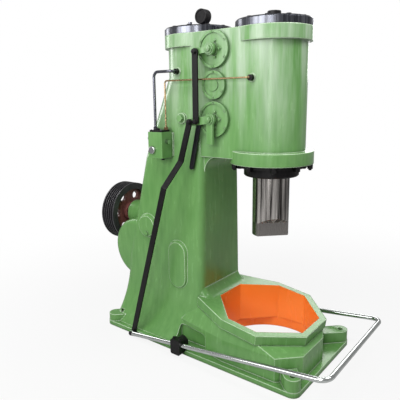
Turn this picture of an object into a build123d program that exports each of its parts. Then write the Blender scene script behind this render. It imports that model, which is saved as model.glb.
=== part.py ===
from build123d import *
from math import atan2, cos, radians, sin
import os

# Self-contained forging hammer, without its anvil, motor and belts.
# Millimetres. The ram axis is X = 0, Y = 0, the floor is Z = 0.
# +X points forward from the column to the ram, -Y is the side with the valve levers.

os.makedirs("parts", exist_ok=True)

# Cylinder block: two barrels joined by a valve chest
head_flange_top_z = 2444
head_flange_height = 94
head_flange_radius = 270
block_height = 936
barrel_radius = 243
barrel_pitch = 657
foot_flange_radius = 304
foot_flange_height = 92
chest_rise = 37
throat_fillet = 115
cover_thickness = 56
cover_edge = 10

# Ram and its guide
ram_radius = 136
ram_length = 985
ram_reach = 543
ram_tang_half = 74
ram_tang_height = 100
ram_tang_turn = -45
ram_shoulder = 46
ram_edge = 4
fit_clearance = 0.05
guide_length = 142
bore_radius = 150

# Column under the block
column_top_drop = 8
shoulder_drop = 314
column_front_x = -450
column_rear_top_x = -1058
column_rear_slope_share = 0.243
column_top_half = 262
column_foot_half = 286
column_corner = 62
shoulder_corner = 236
flare_top_z = 620
flare_side_inset = 44
flare_front_reach = 130
flare_rear_reach = 84
flare_shares = (0, 0.3, 0.55, 0.8, 1)
cove_radius = 120
cove_sink = 3
cove_side_inset = 10
cove_turns_deg = (18, 34, 48, 60, 71, 82)

# Base with its flange, feet and the octagonal anvil well
base_front_x = 490
base_tail = 332
base_half = 480
base_flange = 38
base_corner = 62
wall_setback = 48
wall_top_z = 216
wall_cut = 146
wall_far_corner_y = 47
wall_far_cut = 176
wall_rear_x = -620
wall_rear_inset = 140
well_half_x = 362
well_side = 94
well_cut = 242
well_relief_over = 16
well_relief_height = 86
collar_width = 52
collar_height = 72
collar_overhang = 22
collar_mid_z = 362
collar_slope_deg = 8
collar_waist_x = -150
collar_bury = 24
collar_rear_inset = 175
foot_setback = 4
front_foot_height = 128
rear_foot_height = 100
front_foot_run = 150
rear_foot_run = 150
anchor_rear_inset = 48
anchor_middle_x = -392
anchor_hole_radius = 21
pocket_depth = 140
pocket_length = 284
pocket_x = -474
pocket_top_z = 176
pocket_corner = 26

# Rear lobe, bearing hub, shaft and pulley
lobe_offset = 127
lobe_z = 690
lobe_radius = 262
lobe_half = 274
lobe_edge = 42
shaft_z = 935
shaft_radius = 45
hub_offset = 22
hub_length = 361
hub_front_radius = 158
hub_rear_radius = 112
hub_bore_length = 123
bearing_cap_radius = 96
bearing_cap_thickness = 12
pulley_gap = 29
pulley_width = 150
pulley_radius = 270
rim_depth = 58
web_thickness = 32
pulley_hub_radius = 88
pulley_hub_inset = 12
pulley_hole_radius = 36
pulley_hole_circle = 160
pulley_holes = 6
groove_count = 5
groove_pitch = 26
groove_top = 22
groove_bottom = 12
groove_depth = 19
shaft_stub = 22
shaft_gap = 8

# Bosses of the side wall
obround_x = -686
obround_z = 650
obround_width = 222
obround_height = 430
round_boss_inset = 40
round_boss_z = 926
round_boss_radius = 112
boss_proud = 20
boss_draft = 30
plug_x = -636
plug_drop = 616
plug_radius = 27
plug_boss_radius = 40
plug_height = 26
pad_face = 270

# Valve covers and spindles
valve_x = -335
upper_valve_drop = 132
middle_valve_drop = 377
lower_valve_drop = 619
large_cover_radius = 128
small_cover_radius = 100
cover_plate = 26
cover_rim = 18
cover_dish = 7
cover_round = 5
spindle_radius = 20
spindle_end_gap = 6

# Valve levers, link bar, push rod and hand lever
lever_rest_deg = 7
lever_thickness = 24
lever_gap = 22
lever_hub_radius = 42
lever_hub_extra = 9
link_arm = 110
rod_arm = 150
eye_radius = 28
arm_width = 40
pin_radius = 10
slot_play = 3
pin_clearance = 0.5
bar_width = 46
bar_thickness = 14
bar_gap = 9
rod_gap = 34
rod_side_gap = 7
stop_arm_width = 54
stop_arm_drop = 178
hand_lever_width = 38
hand_lever_thickness = 12
hand_lever_root = 112
hand_lever_length = 356
hand_lever_turn = 13

# Treadle
treadle_radius = 18
treadle_gap = 42
treadle_pivot_x = -512
treadle_pivot_z = 96
treadle_slope_deg = 7.3
treadle_front = 1238
treadle_rear = 500
treadle_far_tail = 70
treadle_bend = 74
tail_lug = 44
tail_lug_height = 40
tail_lug_thickness = 12
rod_jog_drop = 313
rod_jog_height = 190
clamp_length = 92
clamp_width = 58
clamp_height = 122
clamp_drop = 12
clamp_edge = 14
clamp_clearance = 0.3
pivot_radius = 16
pivot_run = 30
bracket_length = 92
bracket_depth = 44
bracket_gap = 9

# Gland under the front cylinder
gland_radius = 202
gland_plate_radius = 262
gland_plate = 26
gland_height = 94
gland_edge = 8

# Covers, breather and plug on top
plug_disc_radius = 56
plug_disc_height = 15
plug_cap_radius = 48
plug_cap_height = 58
plug_cap_edge = 5
drum_x = -545
drum_y = -100
drum_radius = 54
drum_length = 66
drum_neck_radius = 20
drum_neck = 14
drum_edge = 6
nipple_x = -690
nipple_y = -70
nipple_radius = 15
nipple_height = 46
nipple_hex_radius = 23
nipple_hex_height = 18

# Lubricator and its pipes
lubricator_x = -808
lubricator_width = 146
lubricator_depth = 116
lubricator_drop = 918
lubricator_height = 200
lubricator_edge = 8
lid_width = 128
lid_depth = 98
lid_height = 14
filler_radius = 16
filler_height = 15
filler_shift = 38
knob_radius = 17
knob_length = 24
knob_rise = 126
dial_radius = 30
dial_length = 20
dial_drop = 62
dial_shift = 22
steel_pipe_radius = 11
steel_pipe_x = -856
steel_pipe_y = -320
steel_pipe_drop = 268
steel_pipe_end_x = -680
copper_pipe_radius = 6
copper_pipe_x = -764
copper_pipe_y = -300
copper_pipe_drop = 336
pipe_bend = 40
copper_bend = 20
union_radius = 17
union_length = 22
fitting_radius = 22
fitting_length = 28
fitting_boss_radius = 28
fitting_face = 249
front_fitting_x = -24

# Sizes that follow from the ones above
base_rear_x = column_rear_top_x - base_tail
lobe_x = column_rear_top_x - lobe_offset
round_boss_x = column_rear_top_x + round_boss_inset
hub_front_x = column_rear_top_x - hub_offset
hub_rear_x = hub_front_x - hub_length
hub_bore_front_x = hub_rear_x + hub_bore_length
pulley_front_x = hub_rear_x - pulley_gap
flare_side_reach = base_half - flare_side_inset - column_foot_half
wall_rear_half = base_half - wall_rear_inset
well_half_y = base_half - well_side
well_relief_radius = well_half_y + well_relief_over
collar_rear_half = base_half - collar_rear_inset
head_flange_bottom_z = head_flange_top_z - head_flange_height
cover_top_z = head_flange_top_z + cover_thickness
foot_flange_bottom_z = head_flange_top_z - block_height
foot_flange_top_z = foot_flange_bottom_z + foot_flange_height
chest_bottom_z = foot_flange_bottom_z + chest_rise
guide_top_z = foot_flange_bottom_z + guide_length
gland_bottom_z = foot_flange_bottom_z - gland_height
ram_bottom_z = foot_flange_bottom_z - ram_reach
column_top_z = foot_flange_bottom_z - column_top_drop
shoulder_top_z = head_flange_top_z - shoulder_drop
upper_valve_z = head_flange_top_z - upper_valve_drop
middle_valve_z = head_flange_top_z - middle_valve_drop
lower_valve_z = head_flange_top_z - lower_valve_drop
plug_z = head_flange_top_z - plug_drop
steel_pipe_z = head_flange_top_z - steel_pipe_drop
copper_pipe_z = head_flange_top_z - copper_pipe_drop
lubricator_bottom_z = head_flange_top_z - lubricator_drop
knob_z = lubricator_bottom_z + knob_rise
treadle_half = base_half + treadle_gap
collar_back = collar_bury - column_front_x
foot_radius = base_corner - foot_setback
foot_half = base_half - base_corner
front_foot_x = base_front_x - base_corner
rear_foot_x = base_rear_x + base_corner
anchor_rear_x = rear_foot_x + anchor_rear_inset
anchor_rear_half = foot_half - anchor_rear_inset
chest_mid_x = -barrel_pitch / 2
base_mid_x = (base_front_x + base_rear_x) / 2
base_length = base_front_x - base_rear_x
cover_face_y = barrel_radius + cover_plate
lever_inner_y = cover_face_y + lever_gap
lever_outer_y = lever_inner_y + lever_thickness
link_inner_y = lever_outer_y + bar_gap
rod_upper_y = lever_outer_y + rod_gap
rod_lower_y = treadle_half - treadle_radius - rod_side_gap - bar_thickness
shaft_rear_x = pulley_front_x - pulley_width - shaft_stub
treadle_tilt = radians(treadle_slope_deg)
lever_tilt = radians(lever_rest_deg)
hand_tilt = radians(hand_lever_turn)
collar_tilt = radians(collar_slope_deg)
cove_mid_x = column_front_x + cove_radius
cove_top_z = collar_mid_z + (cove_radius - cove_mid_x * sin(collar_tilt)) / cos(collar_tilt) - cove_sink
cove_rear_x = column_front_x - 3 * column_corner
cove_half = column_foot_half - cove_side_inset
wall_front_x = base_front_x - wall_setback
wall_half = base_half - wall_setback
pulley_mid_x = pulley_front_x - pulley_width / 2
lubricator_top_z = lubricator_bottom_z + lubricator_height
lubricator_front_y = -pad_face - lubricator_depth
pipe_root_z = lubricator_top_z + lid_height
rod_pin_x = valve_x - rod_arm * cos(lever_tilt)
rod_pin_z = lower_valve_z - rod_arm * sin(lever_tilt)
tail_x = treadle_pivot_x - (treadle_rear + tail_lug / 2) * cos(treadle_tilt)
tail_z = treadle_pivot_z - (treadle_rear + tail_lug / 2) * sin(treadle_tilt)
bracket_front_y = treadle_half - clamp_width / 2 - bracket_gap

# Tilted planes: the collar's top and the treadle's plane
collar_plane = Plane(
    origin=(0, 0, collar_mid_z),
    x_dir=(cos(collar_tilt), 0, -sin(collar_tilt)),
    z_dir=(sin(collar_tilt), 0, cos(collar_tilt)),
)
treadle_plane = Plane(
    origin=(treadle_pivot_x, 0, treadle_pivot_z),
    x_dir=(cos(treadle_tilt), 0, sin(treadle_tilt)),
    z_dir=(-sin(treadle_tilt), 0, cos(treadle_tilt)),
)


def octagon(half_x, half_y, cut):
    """Corners of an octagon with its corner cuts of one size."""
    return [
        (half_x, half_y - cut), (half_x - cut, half_y),
        (cut - half_x, half_y), (-half_x, half_y - cut),
        (-half_x, cut - half_y), (cut - half_x, -half_y),
        (half_x - cut, -half_y), (half_x, cut - half_y),
    ]


def deck(front, half, cut, rear, rear_half):
    """Outline of the base's front part: cut corners ahead, drawn in to the column behind."""
    return [
        (front, half - cut), (front - cut, half), (collar_waist_x, half), (rear, rear_half),
        (rear, -rear_half), (collar_waist_x, -half), (front - cut, -half), (front, cut - half),
    ]


def column_rear(z):
    """Rear face of the column at a height."""
    return column_rear_top_x - column_rear_slope_share * (column_top_z - z)


def lever_plane(y, z):
    """Plane of a valve lever, with its x along the arm."""
    return Plane(
        origin=(valve_x, -y, z),
        x_dir=(-cos(lever_tilt), 0, -sin(lever_tilt)),
        z_dir=(0, -1, 0),
    )


# Frame casting: base, column and cylinder block in one
with BuildPart() as frame_casting:
    # Lobe of the crank chamber, with rounded rims
    with BuildSketch(Plane.XZ):
        with Locations((lobe_x, lobe_z)):
            Circle(lobe_radius)
    extrude(amount=lobe_half, both=True)
    fillet(frame_casting.edges().filter_by(GeomType.CIRCLE), radius=lobe_edge)
    # Floor flange, the wall of the base and the shoulder that carries the collar
    with BuildSketch(Plane.XY):
        with Locations((base_mid_x, 0)):
            RectangleRounded(base_length, 2 * base_half, base_corner)
    extrude(amount=base_flange)
    wall_outline = deck(wall_front_x, wall_half, wall_cut, wall_rear_x, wall_rear_half)
    wall_outline[:2] = [(wall_front_x, wall_far_corner_y), (wall_front_x - wall_far_cut, wall_half)]
    with BuildSketch(Plane.XY.offset(base_flange)):
        Polygon(*wall_outline, align=None)
    extrude(amount=wall_top_z - base_flange)
    with BuildSketch(Plane.XY.offset(wall_top_z)):
        Polygon(*wall_outline, align=None)
    with BuildSketch(collar_plane.offset(-collar_height)):
        Polygon(
            *deck(
                well_half_x + collar_width - collar_overhang,
                well_half_y + collar_width - collar_overhang,
                well_cut,
                -collar_back,
                collar_rear_half - collar_overhang,
            ),
            align=None,
        )
    loft(ruled=True)
    # Octagonal collar, drawn back to the column
    with BuildSketch(collar_plane):
        Polygon(
            *deck(
                well_half_x + collar_width,
                well_half_y + collar_width,
                well_cut + collar_overhang,
                -collar_back,
                collar_rear_half,
            ),
            align=None,
        )
    extrude(amount=-collar_height)
    # Flared foot of the column
    for share in flare_shares:
        with BuildSketch(Plane.XY.offset(flare_top_z - share * (flare_top_z - base_flange))):
            flare_front = column_front_x + share ** 3 * flare_front_reach
            flare_rear = column_rear(flare_top_z) - share * flare_rear_reach
            flare_half = column_foot_half + share ** 3 * flare_side_reach
            with Locations(((flare_front + flare_rear) / 2, 0)):
                RectangleRounded(flare_front - flare_rear, 2 * flare_half, column_corner)
    loft()
    # Fillet of the column's foot, running out on the collar
    for turn in cove_turns_deg:
        with BuildSketch(Plane.XY.offset(cove_top_z - cove_radius * sin(radians(turn)))):
            cove_front = cove_mid_x - cove_radius * cos(radians(turn))
            with Locations(((cove_front + cove_rear_x) / 2, 0)):
                RectangleRounded(cove_front - cove_rear_x, 2 * cove_half, column_corner)
    loft()
    # Column with its slight taper
    with BuildSketch(Plane.XY.offset(flare_top_z)):
        with Locations(((column_front_x + column_rear(flare_top_z)) / 2, 0)):
            RectangleRounded(column_front_x - column_rear(flare_top_z), 2 * column_foot_half, column_corner)
    with BuildSketch(Plane.XY.offset(column_top_z)):
        with Locations(((column_front_x + column_rear_top_x) / 2, 0)):
            RectangleRounded(column_front_x - column_rear_top_x, 2 * column_top_half, column_corner)
    loft(ruled=True)
    # Shoulder that draws the column in to the rear barrel
    with BuildSketch(Plane.XY.offset(column_top_z)):
        with Locations(((column_front_x + column_rear_top_x) / 2, 0)):
            Rectangle(column_front_x - column_rear_top_x, 2 * column_top_half)
        fillet(vertices(), radius=column_corner)
    with BuildSketch(Plane.XY.offset(shoulder_top_z)):
        with Locations(((column_front_x - barrel_pitch - barrel_radius) / 2, 0)):
            Rectangle(column_front_x + barrel_pitch + barrel_radius, 2 * barrel_radius)
        fillet(vertices().group_by(Axis.X)[0], radius=shoulder_corner)
        fillet(vertices().group_by(Axis.X)[-1], radius=column_corner)
    loft(ruled=True)
    # Two barrels with the valve chest between them
    with BuildSketch(Plane.XY.offset(chest_bottom_z)):
        with Locations((chest_mid_x, 0)):
            SlotCenterToCenter(barrel_pitch, 2 * barrel_radius)
    extrude(amount=head_flange_top_z - chest_bottom_z)
    with BuildSketch(Plane.XY.offset(foot_flange_bottom_z)):
        Circle(barrel_radius)
    extrude(amount=chest_bottom_z - foot_flange_bottom_z)
    with BuildSketch(Plane.XY.offset(head_flange_bottom_z)):
        with Locations((0, 0), (-barrel_pitch, 0)):
            Circle(head_flange_radius)
    extrude(amount=head_flange_top_z - head_flange_bottom_z)
    with BuildSketch(Plane.XY.offset(foot_flange_bottom_z)):
        Circle(foot_flange_radius)
    extrude(amount=foot_flange_top_z - foot_flange_bottom_z)
    # Fillet of the throat, under the overhanging chest
    with BuildSketch(Plane.XZ):
        with BuildLine():
            throat_mid = throat_fillet * (1 - cos(radians(45)))
            Polyline(
                (column_front_x + throat_fillet, chest_bottom_z),
                (column_front_x - throat_fillet, chest_bottom_z),
                (column_front_x - throat_fillet, chest_bottom_z - throat_fillet),
                (column_front_x, chest_bottom_z - throat_fillet),
            )
            ThreePointArc(
                (column_front_x, chest_bottom_z - throat_fillet),
                (column_front_x + throat_mid, chest_bottom_z - throat_mid),
                (column_front_x + throat_fillet, chest_bottom_z),
            )
        make_face()
    extrude(amount=barrel_radius - boss_proud, both=True)
    # Bearing hub, tapering to the rear
    with BuildSketch(Plane.YZ.offset(hub_front_x)):
        with Locations((0, shaft_z)):
            Circle(hub_front_radius)
    with BuildSketch(Plane.YZ.offset(hub_rear_x)):
        with Locations((0, shaft_z)):
            Circle(hub_rear_radius)
    loft(ruled=True)
    # Raised bosses on the lever side
    with BuildSketch(Plane.XZ.offset(column_top_half)):
        with Locations((obround_x, obround_z)):
            SlotOverall(obround_height, obround_width, rotation=90)
        with Locations((round_boss_x, round_boss_z)):
            Circle(round_boss_radius)
    extrude(amount=column_foot_half - column_top_half + boss_proud, taper=boss_draft)
    with BuildSketch(Plane.XZ.offset(barrel_radius - boss_proud)):
        with Locations((plug_x, plug_z)):
            Circle(plug_boss_radius)
        with Locations((lubricator_x, lubricator_bottom_z + lubricator_height / 2)):
            Rectangle(lubricator_width + boss_proud, lubricator_height - boss_proud)
    extrude(amount=pad_face - barrel_radius + boss_proud)
    with BuildSketch(Plane.XZ.offset(barrel_radius / 2)):
        with Locations((steel_pipe_end_x, steel_pipe_z), (front_fitting_x, copper_pipe_z)):
            Circle(fitting_boss_radius)
    extrude(amount=fitting_face - barrel_radius / 2)
    # Corner feet, rounded with the flange and running in to the walls
    for side in (-1, 1):
        with BuildSketch(Plane.XY):
            with Locations(
                (
                    front_foot_x - front_foot_run * cos(radians(45)) / 2,
                    side * (foot_half - front_foot_run * sin(radians(45)) / 2),
                )
            ):
                SlotCenterToCenter(front_foot_run, 2 * foot_radius, rotation=side * 45)
        extrude(amount=front_foot_height)
        with BuildSketch(Plane.XY):
            with Locations(
                (
                    rear_foot_x + rear_foot_run * cos(radians(45)) / 2,
                    side * (foot_half - rear_foot_run * sin(radians(45)) / 2),
                )
            ):
                SlotCenterToCenter(rear_foot_run, 2 * foot_radius, rotation=-side * 45)
        extrude(amount=rear_foot_height)
    # Anvil well, right through, with a round relief from below
    with BuildSketch(Plane.XY):
        Polygon(*octagon(well_half_x, well_half_y, well_cut), align=None)
    extrude(amount=flare_top_z, mode=Mode.SUBTRACT)
    with BuildSketch(Plane.XY):
        Circle(well_relief_radius)
    extrude(amount=well_relief_height, mode=Mode.SUBTRACT)
    # Pockets over the middle anchor bolts, with rounded upper corners
    for side in (-1, 1):
        with BuildSketch(Plane.XZ.offset(-side * (base_half - pocket_depth))):
            with Locations((pocket_x, base_flange)):
                Rectangle(pocket_length, pocket_top_z - base_flange, align=(Align.CENTER, Align.MIN))
            fillet(vertices().group_by(Axis.Z)[-1], radius=pocket_corner)
        extrude(amount=-side * pocket_depth, mode=Mode.SUBTRACT)
    # Anchor holes
    with BuildSketch(Plane.XY):
        with Locations(
            (front_foot_x, foot_half), (front_foot_x, -foot_half),
            (anchor_middle_x, foot_half), (anchor_middle_x, -foot_half),
            (anchor_rear_x, anchor_rear_half), (anchor_rear_x, -anchor_rear_half),
        ):
            Circle(anchor_hole_radius)
    extrude(amount=front_foot_height, mode=Mode.SUBTRACT)
    # Ram guide, cylinder bore and the bore of the bearing hub
    with BuildSketch(Plane.XY.offset(foot_flange_bottom_z)):
        Circle(ram_radius + fit_clearance)
    extrude(amount=guide_top_z - foot_flange_bottom_z, mode=Mode.SUBTRACT)
    with BuildSketch(Plane.XY.offset(guide_top_z)):
        Circle(bore_radius)
    extrude(amount=head_flange_top_z - guide_top_z, mode=Mode.SUBTRACT)
    with BuildSketch(Plane.YZ.offset(hub_rear_x)):
        with Locations((0, shaft_z)):
            Circle(shaft_radius + fit_clearance)
    extrude(amount=hub_bore_front_x - hub_rear_x, mode=Mode.SUBTRACT)
frame_casting.part.label = "frame_casting"
export_step(frame_casting.part, "parts/frame_casting.step")

# Cylinder covers
with BuildPart() as front_cylinder_cover:
    with BuildSketch(Plane.XY.offset(head_flange_top_z)):
        Circle(head_flange_radius)
    extrude(amount=cover_thickness)
    chamfer(front_cylinder_cover.edges().group_by(Axis.Z)[-1], length=cover_edge)
front_cylinder_cover.part.label = "front_cylinder_cover"
export_step(front_cylinder_cover.part, "parts/front_cylinder_cover.step")

with BuildPart() as rear_cylinder_cover:
    with BuildSketch(Plane.XY.offset(head_flange_top_z)):
        with Locations((-barrel_pitch, 0)):
            Circle(head_flange_radius)
    extrude(amount=cover_thickness)
    chamfer(rear_cylinder_cover.edges().group_by(Axis.Z)[-1], length=cover_edge)
rear_cylinder_cover.part.label = "rear_cylinder_cover"
export_step(rear_cylinder_cover.part, "parts/rear_cylinder_cover.step")

with BuildPart() as front_cover_plug:
    with BuildSketch(Plane.XY.offset(cover_top_z)):
        Circle(plug_disc_radius)
    extrude(amount=plug_disc_height)
    with BuildSketch(Plane.XY.offset(cover_top_z)):
        Circle(plug_cap_radius)
    extrude(amount=plug_cap_height)
    fillet(front_cover_plug.edges().group_by(Axis.Z)[-1], radius=plug_cap_edge)
front_cover_plug.part.label = "front_cover_plug"
export_step(front_cover_plug.part, "parts/front_cover_plug.step")

# Breather drum lying on its neck, and the oil nipple beside it
with BuildPart() as breather_drum:
    with BuildSketch(Plane.XY.offset(cover_top_z)):
        with Locations((drum_x, drum_y)):
            Circle(drum_neck_radius)
    extrude(amount=drum_neck + drum_radius)
    with BuildSketch(Plane.XZ.offset(-drum_y)):
        with Locations((drum_x, cover_top_z + drum_neck + drum_radius)):
            Circle(drum_radius)
    extrude(amount=drum_length / 2, both=True)
    fillet(breather_drum.edges().group_by(Axis.Y)[0], radius=drum_edge)
    with BuildSketch(Plane.XZ.offset(-drum_y + drum_length / 2)):
        with Locations((drum_x, cover_top_z + drum_neck + drum_radius)):
            Circle(drum_radius - 2 * drum_edge)
    extrude(amount=-drum_edge, mode=Mode.SUBTRACT)
breather_drum.part.label = "breather_drum"
export_step(breather_drum.part, "parts/breather_drum.step")

with BuildPart() as cover_nipple:
    with BuildSketch(Plane.XY.offset(cover_top_z)):
        with Locations((nipple_x, nipple_y)):
            RegularPolygon(nipple_hex_radius, 6)
    extrude(amount=nipple_hex_height)
    with BuildSketch(Plane.XY.offset(cover_top_z)):
        with Locations((nipple_x, nipple_y)):
            Circle(nipple_radius)
    extrude(amount=nipple_height)
cover_nipple.part.label = "cover_nipple"
export_step(cover_nipple.part, "parts/cover_nipple.step")

# Three round valve covers, the outer two bored for their spindles
with BuildPart() as upper_valve_cover:
    with BuildSketch(Plane.XZ.offset(barrel_radius)):
        with Locations((valve_x, upper_valve_z)):
            Circle(large_cover_radius)
            Circle(spindle_radius + fit_clearance, mode=Mode.SUBTRACT)
    extrude(amount=cover_plate)
    with BuildSketch(Plane.XZ.offset(cover_face_y)):
        with Locations((valve_x, upper_valve_z)):
            Circle(large_cover_radius - cover_rim)
            Circle(lever_hub_radius, mode=Mode.SUBTRACT)
    extrude(amount=-cover_dish, mode=Mode.SUBTRACT)
upper_valve_cover.part.label = "upper_valve_cover"
export_step(upper_valve_cover.part, "parts/upper_valve_cover.step")

with BuildPart() as middle_valve_cover:
    with BuildSketch(Plane.XZ.offset(barrel_radius)):
        with Locations((valve_x, middle_valve_z)):
            Circle(small_cover_radius)
    extrude(amount=cover_plate)
    with BuildSketch(Plane.XZ.offset(cover_face_y)):
        with Locations((valve_x, middle_valve_z)):
            Circle(small_cover_radius - cover_rim)
            Circle(lever_hub_radius, mode=Mode.SUBTRACT)
    extrude(amount=-cover_dish, mode=Mode.SUBTRACT)
middle_valve_cover.part.label = "middle_valve_cover"
export_step(middle_valve_cover.part, "parts/middle_valve_cover.step")

with BuildPart() as lower_valve_cover:
    with BuildSketch(Plane.XZ.offset(barrel_radius)):
        with Locations((valve_x, lower_valve_z)):
            Circle(large_cover_radius)
            Circle(spindle_radius + fit_clearance, mode=Mode.SUBTRACT)
    extrude(amount=cover_plate)
    with BuildSketch(Plane.XZ.offset(cover_face_y)):
        with Locations((valve_x, lower_valve_z)):
            Circle(large_cover_radius - cover_rim)
            Circle(lever_hub_radius, mode=Mode.SUBTRACT)
    extrude(amount=-cover_dish, mode=Mode.SUBTRACT)
lower_valve_cover.part.label = "lower_valve_cover"
export_step(lower_valve_cover.part, "parts/lower_valve_cover.step")

# Upper valve lever with its spindle and a slotted eye
with BuildPart() as upper_valve_lever:
    with BuildSketch(lever_plane(lever_inner_y, upper_valve_z)):
        Circle(lever_hub_radius)
        with Locations((link_arm, 0)):
            Circle(eye_radius)
        with Locations((link_arm / 2, 0)):
            Rectangle(link_arm, arm_width)
        with Locations((link_arm, 0)):
            SlotOverall(2 * (pin_radius + slot_play), 2 * (pin_radius + pin_clearance), mode=Mode.SUBTRACT)
    extrude(amount=lever_thickness)
    with BuildSketch(lever_plane(lever_inner_y, upper_valve_z)):
        Circle(lever_hub_radius - lever_hub_extra)
    extrude(amount=lever_thickness + lever_hub_extra)
    with BuildSketch(lever_plane(barrel_radius + spindle_end_gap, upper_valve_z)):
        Circle(spindle_radius)
    extrude(amount=lever_inner_y - barrel_radius)
upper_valve_lever.part.label = "upper_valve_lever"
export_step(upper_valve_lever.part, "parts/upper_valve_lever.step")

# Lower valve lever: two slotted eyes and a hanging stop arm
with BuildPart() as lower_valve_lever:
    with BuildSketch(lever_plane(lever_inner_y, lower_valve_z)):
        Circle(lever_hub_radius)
        with Locations((rod_arm, 0)):
            Circle(eye_radius)
        with Locations((rod_arm / 2, 0)):
            Rectangle(rod_arm, 2 * eye_radius)
        with Locations((link_arm, 0), (rod_arm, 0)):
            SlotOverall(2 * (pin_radius + slot_play), 2 * (pin_radius + pin_clearance), mode=Mode.SUBTRACT)
    extrude(amount=lever_thickness)
    with BuildSketch(lever_plane(lever_inner_y, lower_valve_z)):
        Circle(lever_hub_radius - lever_hub_extra)
    extrude(amount=lever_thickness + lever_hub_extra)
    with BuildSketch(Plane.XZ.offset(lever_inner_y)):
        with Locations((valve_x, lower_valve_z - stop_arm_drop / 2)):
            Rectangle(stop_arm_width, stop_arm_drop)
    extrude(amount=lever_thickness)
    with BuildSketch(lever_plane(barrel_radius + spindle_end_gap, lower_valve_z)):
        Circle(spindle_radius)
    extrude(amount=lever_inner_y - barrel_radius)
lower_valve_lever.part.label = "lower_valve_lever"
export_step(lower_valve_lever.part, "parts/lower_valve_lever.step")

# Hand lever, a flat bar on the inner face of the lower lever
hand_root_x = valve_x - hand_lever_root * cos(lever_tilt)
hand_root_z = lower_valve_z - hand_lever_root * sin(lever_tilt)
hand_plane = Plane(
    origin=(hand_root_x, -lever_inner_y, hand_root_z),
    x_dir=(-sin(hand_tilt), 0, -cos(hand_tilt)),
    z_dir=(0, 1, 0),
)
with BuildPart() as hand_lever:
    with BuildSketch(hand_plane):
        with Locations((hand_lever_length / 2, 0)):
            SlotOverall(hand_lever_length + hand_lever_width, hand_lever_width)
    extrude(amount=hand_lever_thickness)
hand_lever.part.label = "hand_lever"
export_step(hand_lever.part, "parts/hand_lever.step")

# Link bar between the levers, with a pin at each end
link_x = valve_x - link_arm * cos(lever_tilt)
link_low_z = lower_valve_z - link_arm * sin(lever_tilt)
link_high_z = upper_valve_z - link_arm * sin(lever_tilt)
with BuildPart() as valve_link_bar:
    with BuildSketch(Plane.XZ.offset(link_inner_y)):
        with Locations((link_x, (link_low_z + link_high_z) / 2)):
            SlotOverall(link_high_z - link_low_z + bar_width, bar_width, rotation=90)
    extrude(amount=bar_thickness)
    with BuildSketch(Plane.XZ.offset(lever_inner_y + pin_clearance)):
        with Locations((link_x, link_low_z), (link_x, link_high_z)):
            Circle(pin_radius)
    extrude(amount=link_inner_y - lever_inner_y)
valve_link_bar.part.label = "valve_link_bar"
export_step(valve_link_bar.part, "parts/valve_link_bar.step")

# Push rod: a flat bar from the treadle's tail, jogged in to the lower lever
rod_turn = atan2(rod_pin_x - tail_x, rod_pin_z - tail_z)
rod_length = (rod_pin_z - tail_z) / cos(rod_turn)
rod_jog_high = (lower_valve_z - rod_jog_drop - tail_z) / cos(rod_turn)
rod_jog_low = rod_jog_high - rod_jog_height / cos(rod_turn)
rod_plane = Plane(
    origin=(tail_x, 0, tail_z),
    x_dir=(sin(rod_turn), 0, cos(rod_turn)),
    z_dir=(cos(rod_turn), 0, -sin(rod_turn)),
)
with BuildPart() as push_rod:
    with BuildSketch(rod_plane):
        with BuildLine():
            Polyline(
                (0, rod_lower_y),
                (rod_jog_low, rod_lower_y),
                (rod_jog_high, rod_upper_y),
                (rod_length, rod_upper_y),
                (rod_length, rod_upper_y + bar_thickness),
                (rod_jog_high, rod_upper_y + bar_thickness),
                (rod_jog_low, rod_lower_y + bar_thickness),
                (0, rod_lower_y + bar_thickness),
                close=True,
            )
        make_face()
    extrude(amount=bar_width / 2, both=True)
    with BuildSketch(Plane.XZ.offset(rod_lower_y)):
        with Locations((tail_x, tail_z)):
            Circle(bar_width / 2)
    extrude(amount=bar_thickness)
    with BuildSketch(Plane.XZ.offset(rod_upper_y)):
        with Locations((rod_pin_x, rod_pin_z)):
            Circle(bar_width / 2)
    extrude(amount=bar_thickness)
    with BuildSketch(Plane.XZ.offset(lever_inner_y + pin_clearance)):
        with Locations((rod_pin_x, rod_pin_z)):
            Circle(pin_radius)
    extrude(amount=rod_upper_y - lever_inner_y)
    with BuildSketch(Plane.XZ.offset(rod_lower_y)):
        with Locations((tail_x, tail_z)):
            Circle(pin_radius)
    extrude(amount=treadle_half + tail_lug_thickness - rod_lower_y)
push_rod.part.label = "push_rod"
export_step(push_rod.part, "parts/push_rod.step")

# Treadle: one bent bar round the base, with a slotted lug at its tail
with BuildPart() as treadle:
    with BuildLine(treadle_plane):
        FilletPolyline(
            (-treadle_rear, -treadle_half),
            (treadle_front, -treadle_half),
            (treadle_front, treadle_half),
            (-treadle_far_tail, treadle_half),
            radius=treadle_bend,
        )
    with BuildSketch(
        Plane(
            origin=treadle_plane.from_local_coords((-treadle_rear, -treadle_half, 0)),
            x_dir=(0, 1, 0),
            z_dir=treadle_plane.x_dir,
        )
    ):
        Circle(treadle_radius)
    sweep()
    with BuildSketch(
        Plane(
            origin=treadle_plane.from_local_coords((-treadle_rear, -treadle_half, 0)),
            x_dir=treadle_plane.x_dir,
            z_dir=(0, -1, 0),
        )
    ):
        with Locations((-tail_lug / 2, 0)):
            Circle(tail_lug_height / 2)
            Rectangle(tail_lug, tail_lug_height, align=(Align.MIN, Align.CENTER))
            SlotOverall(2 * (pin_radius + slot_play + slot_play), 2 * (pin_radius + pin_clearance),
                        mode=Mode.SUBTRACT)
    extrude(amount=tail_lug_thickness / 2, both=True)
treadle.part.label = "treadle"
export_step(treadle.part, "parts/treadle.step")

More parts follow.
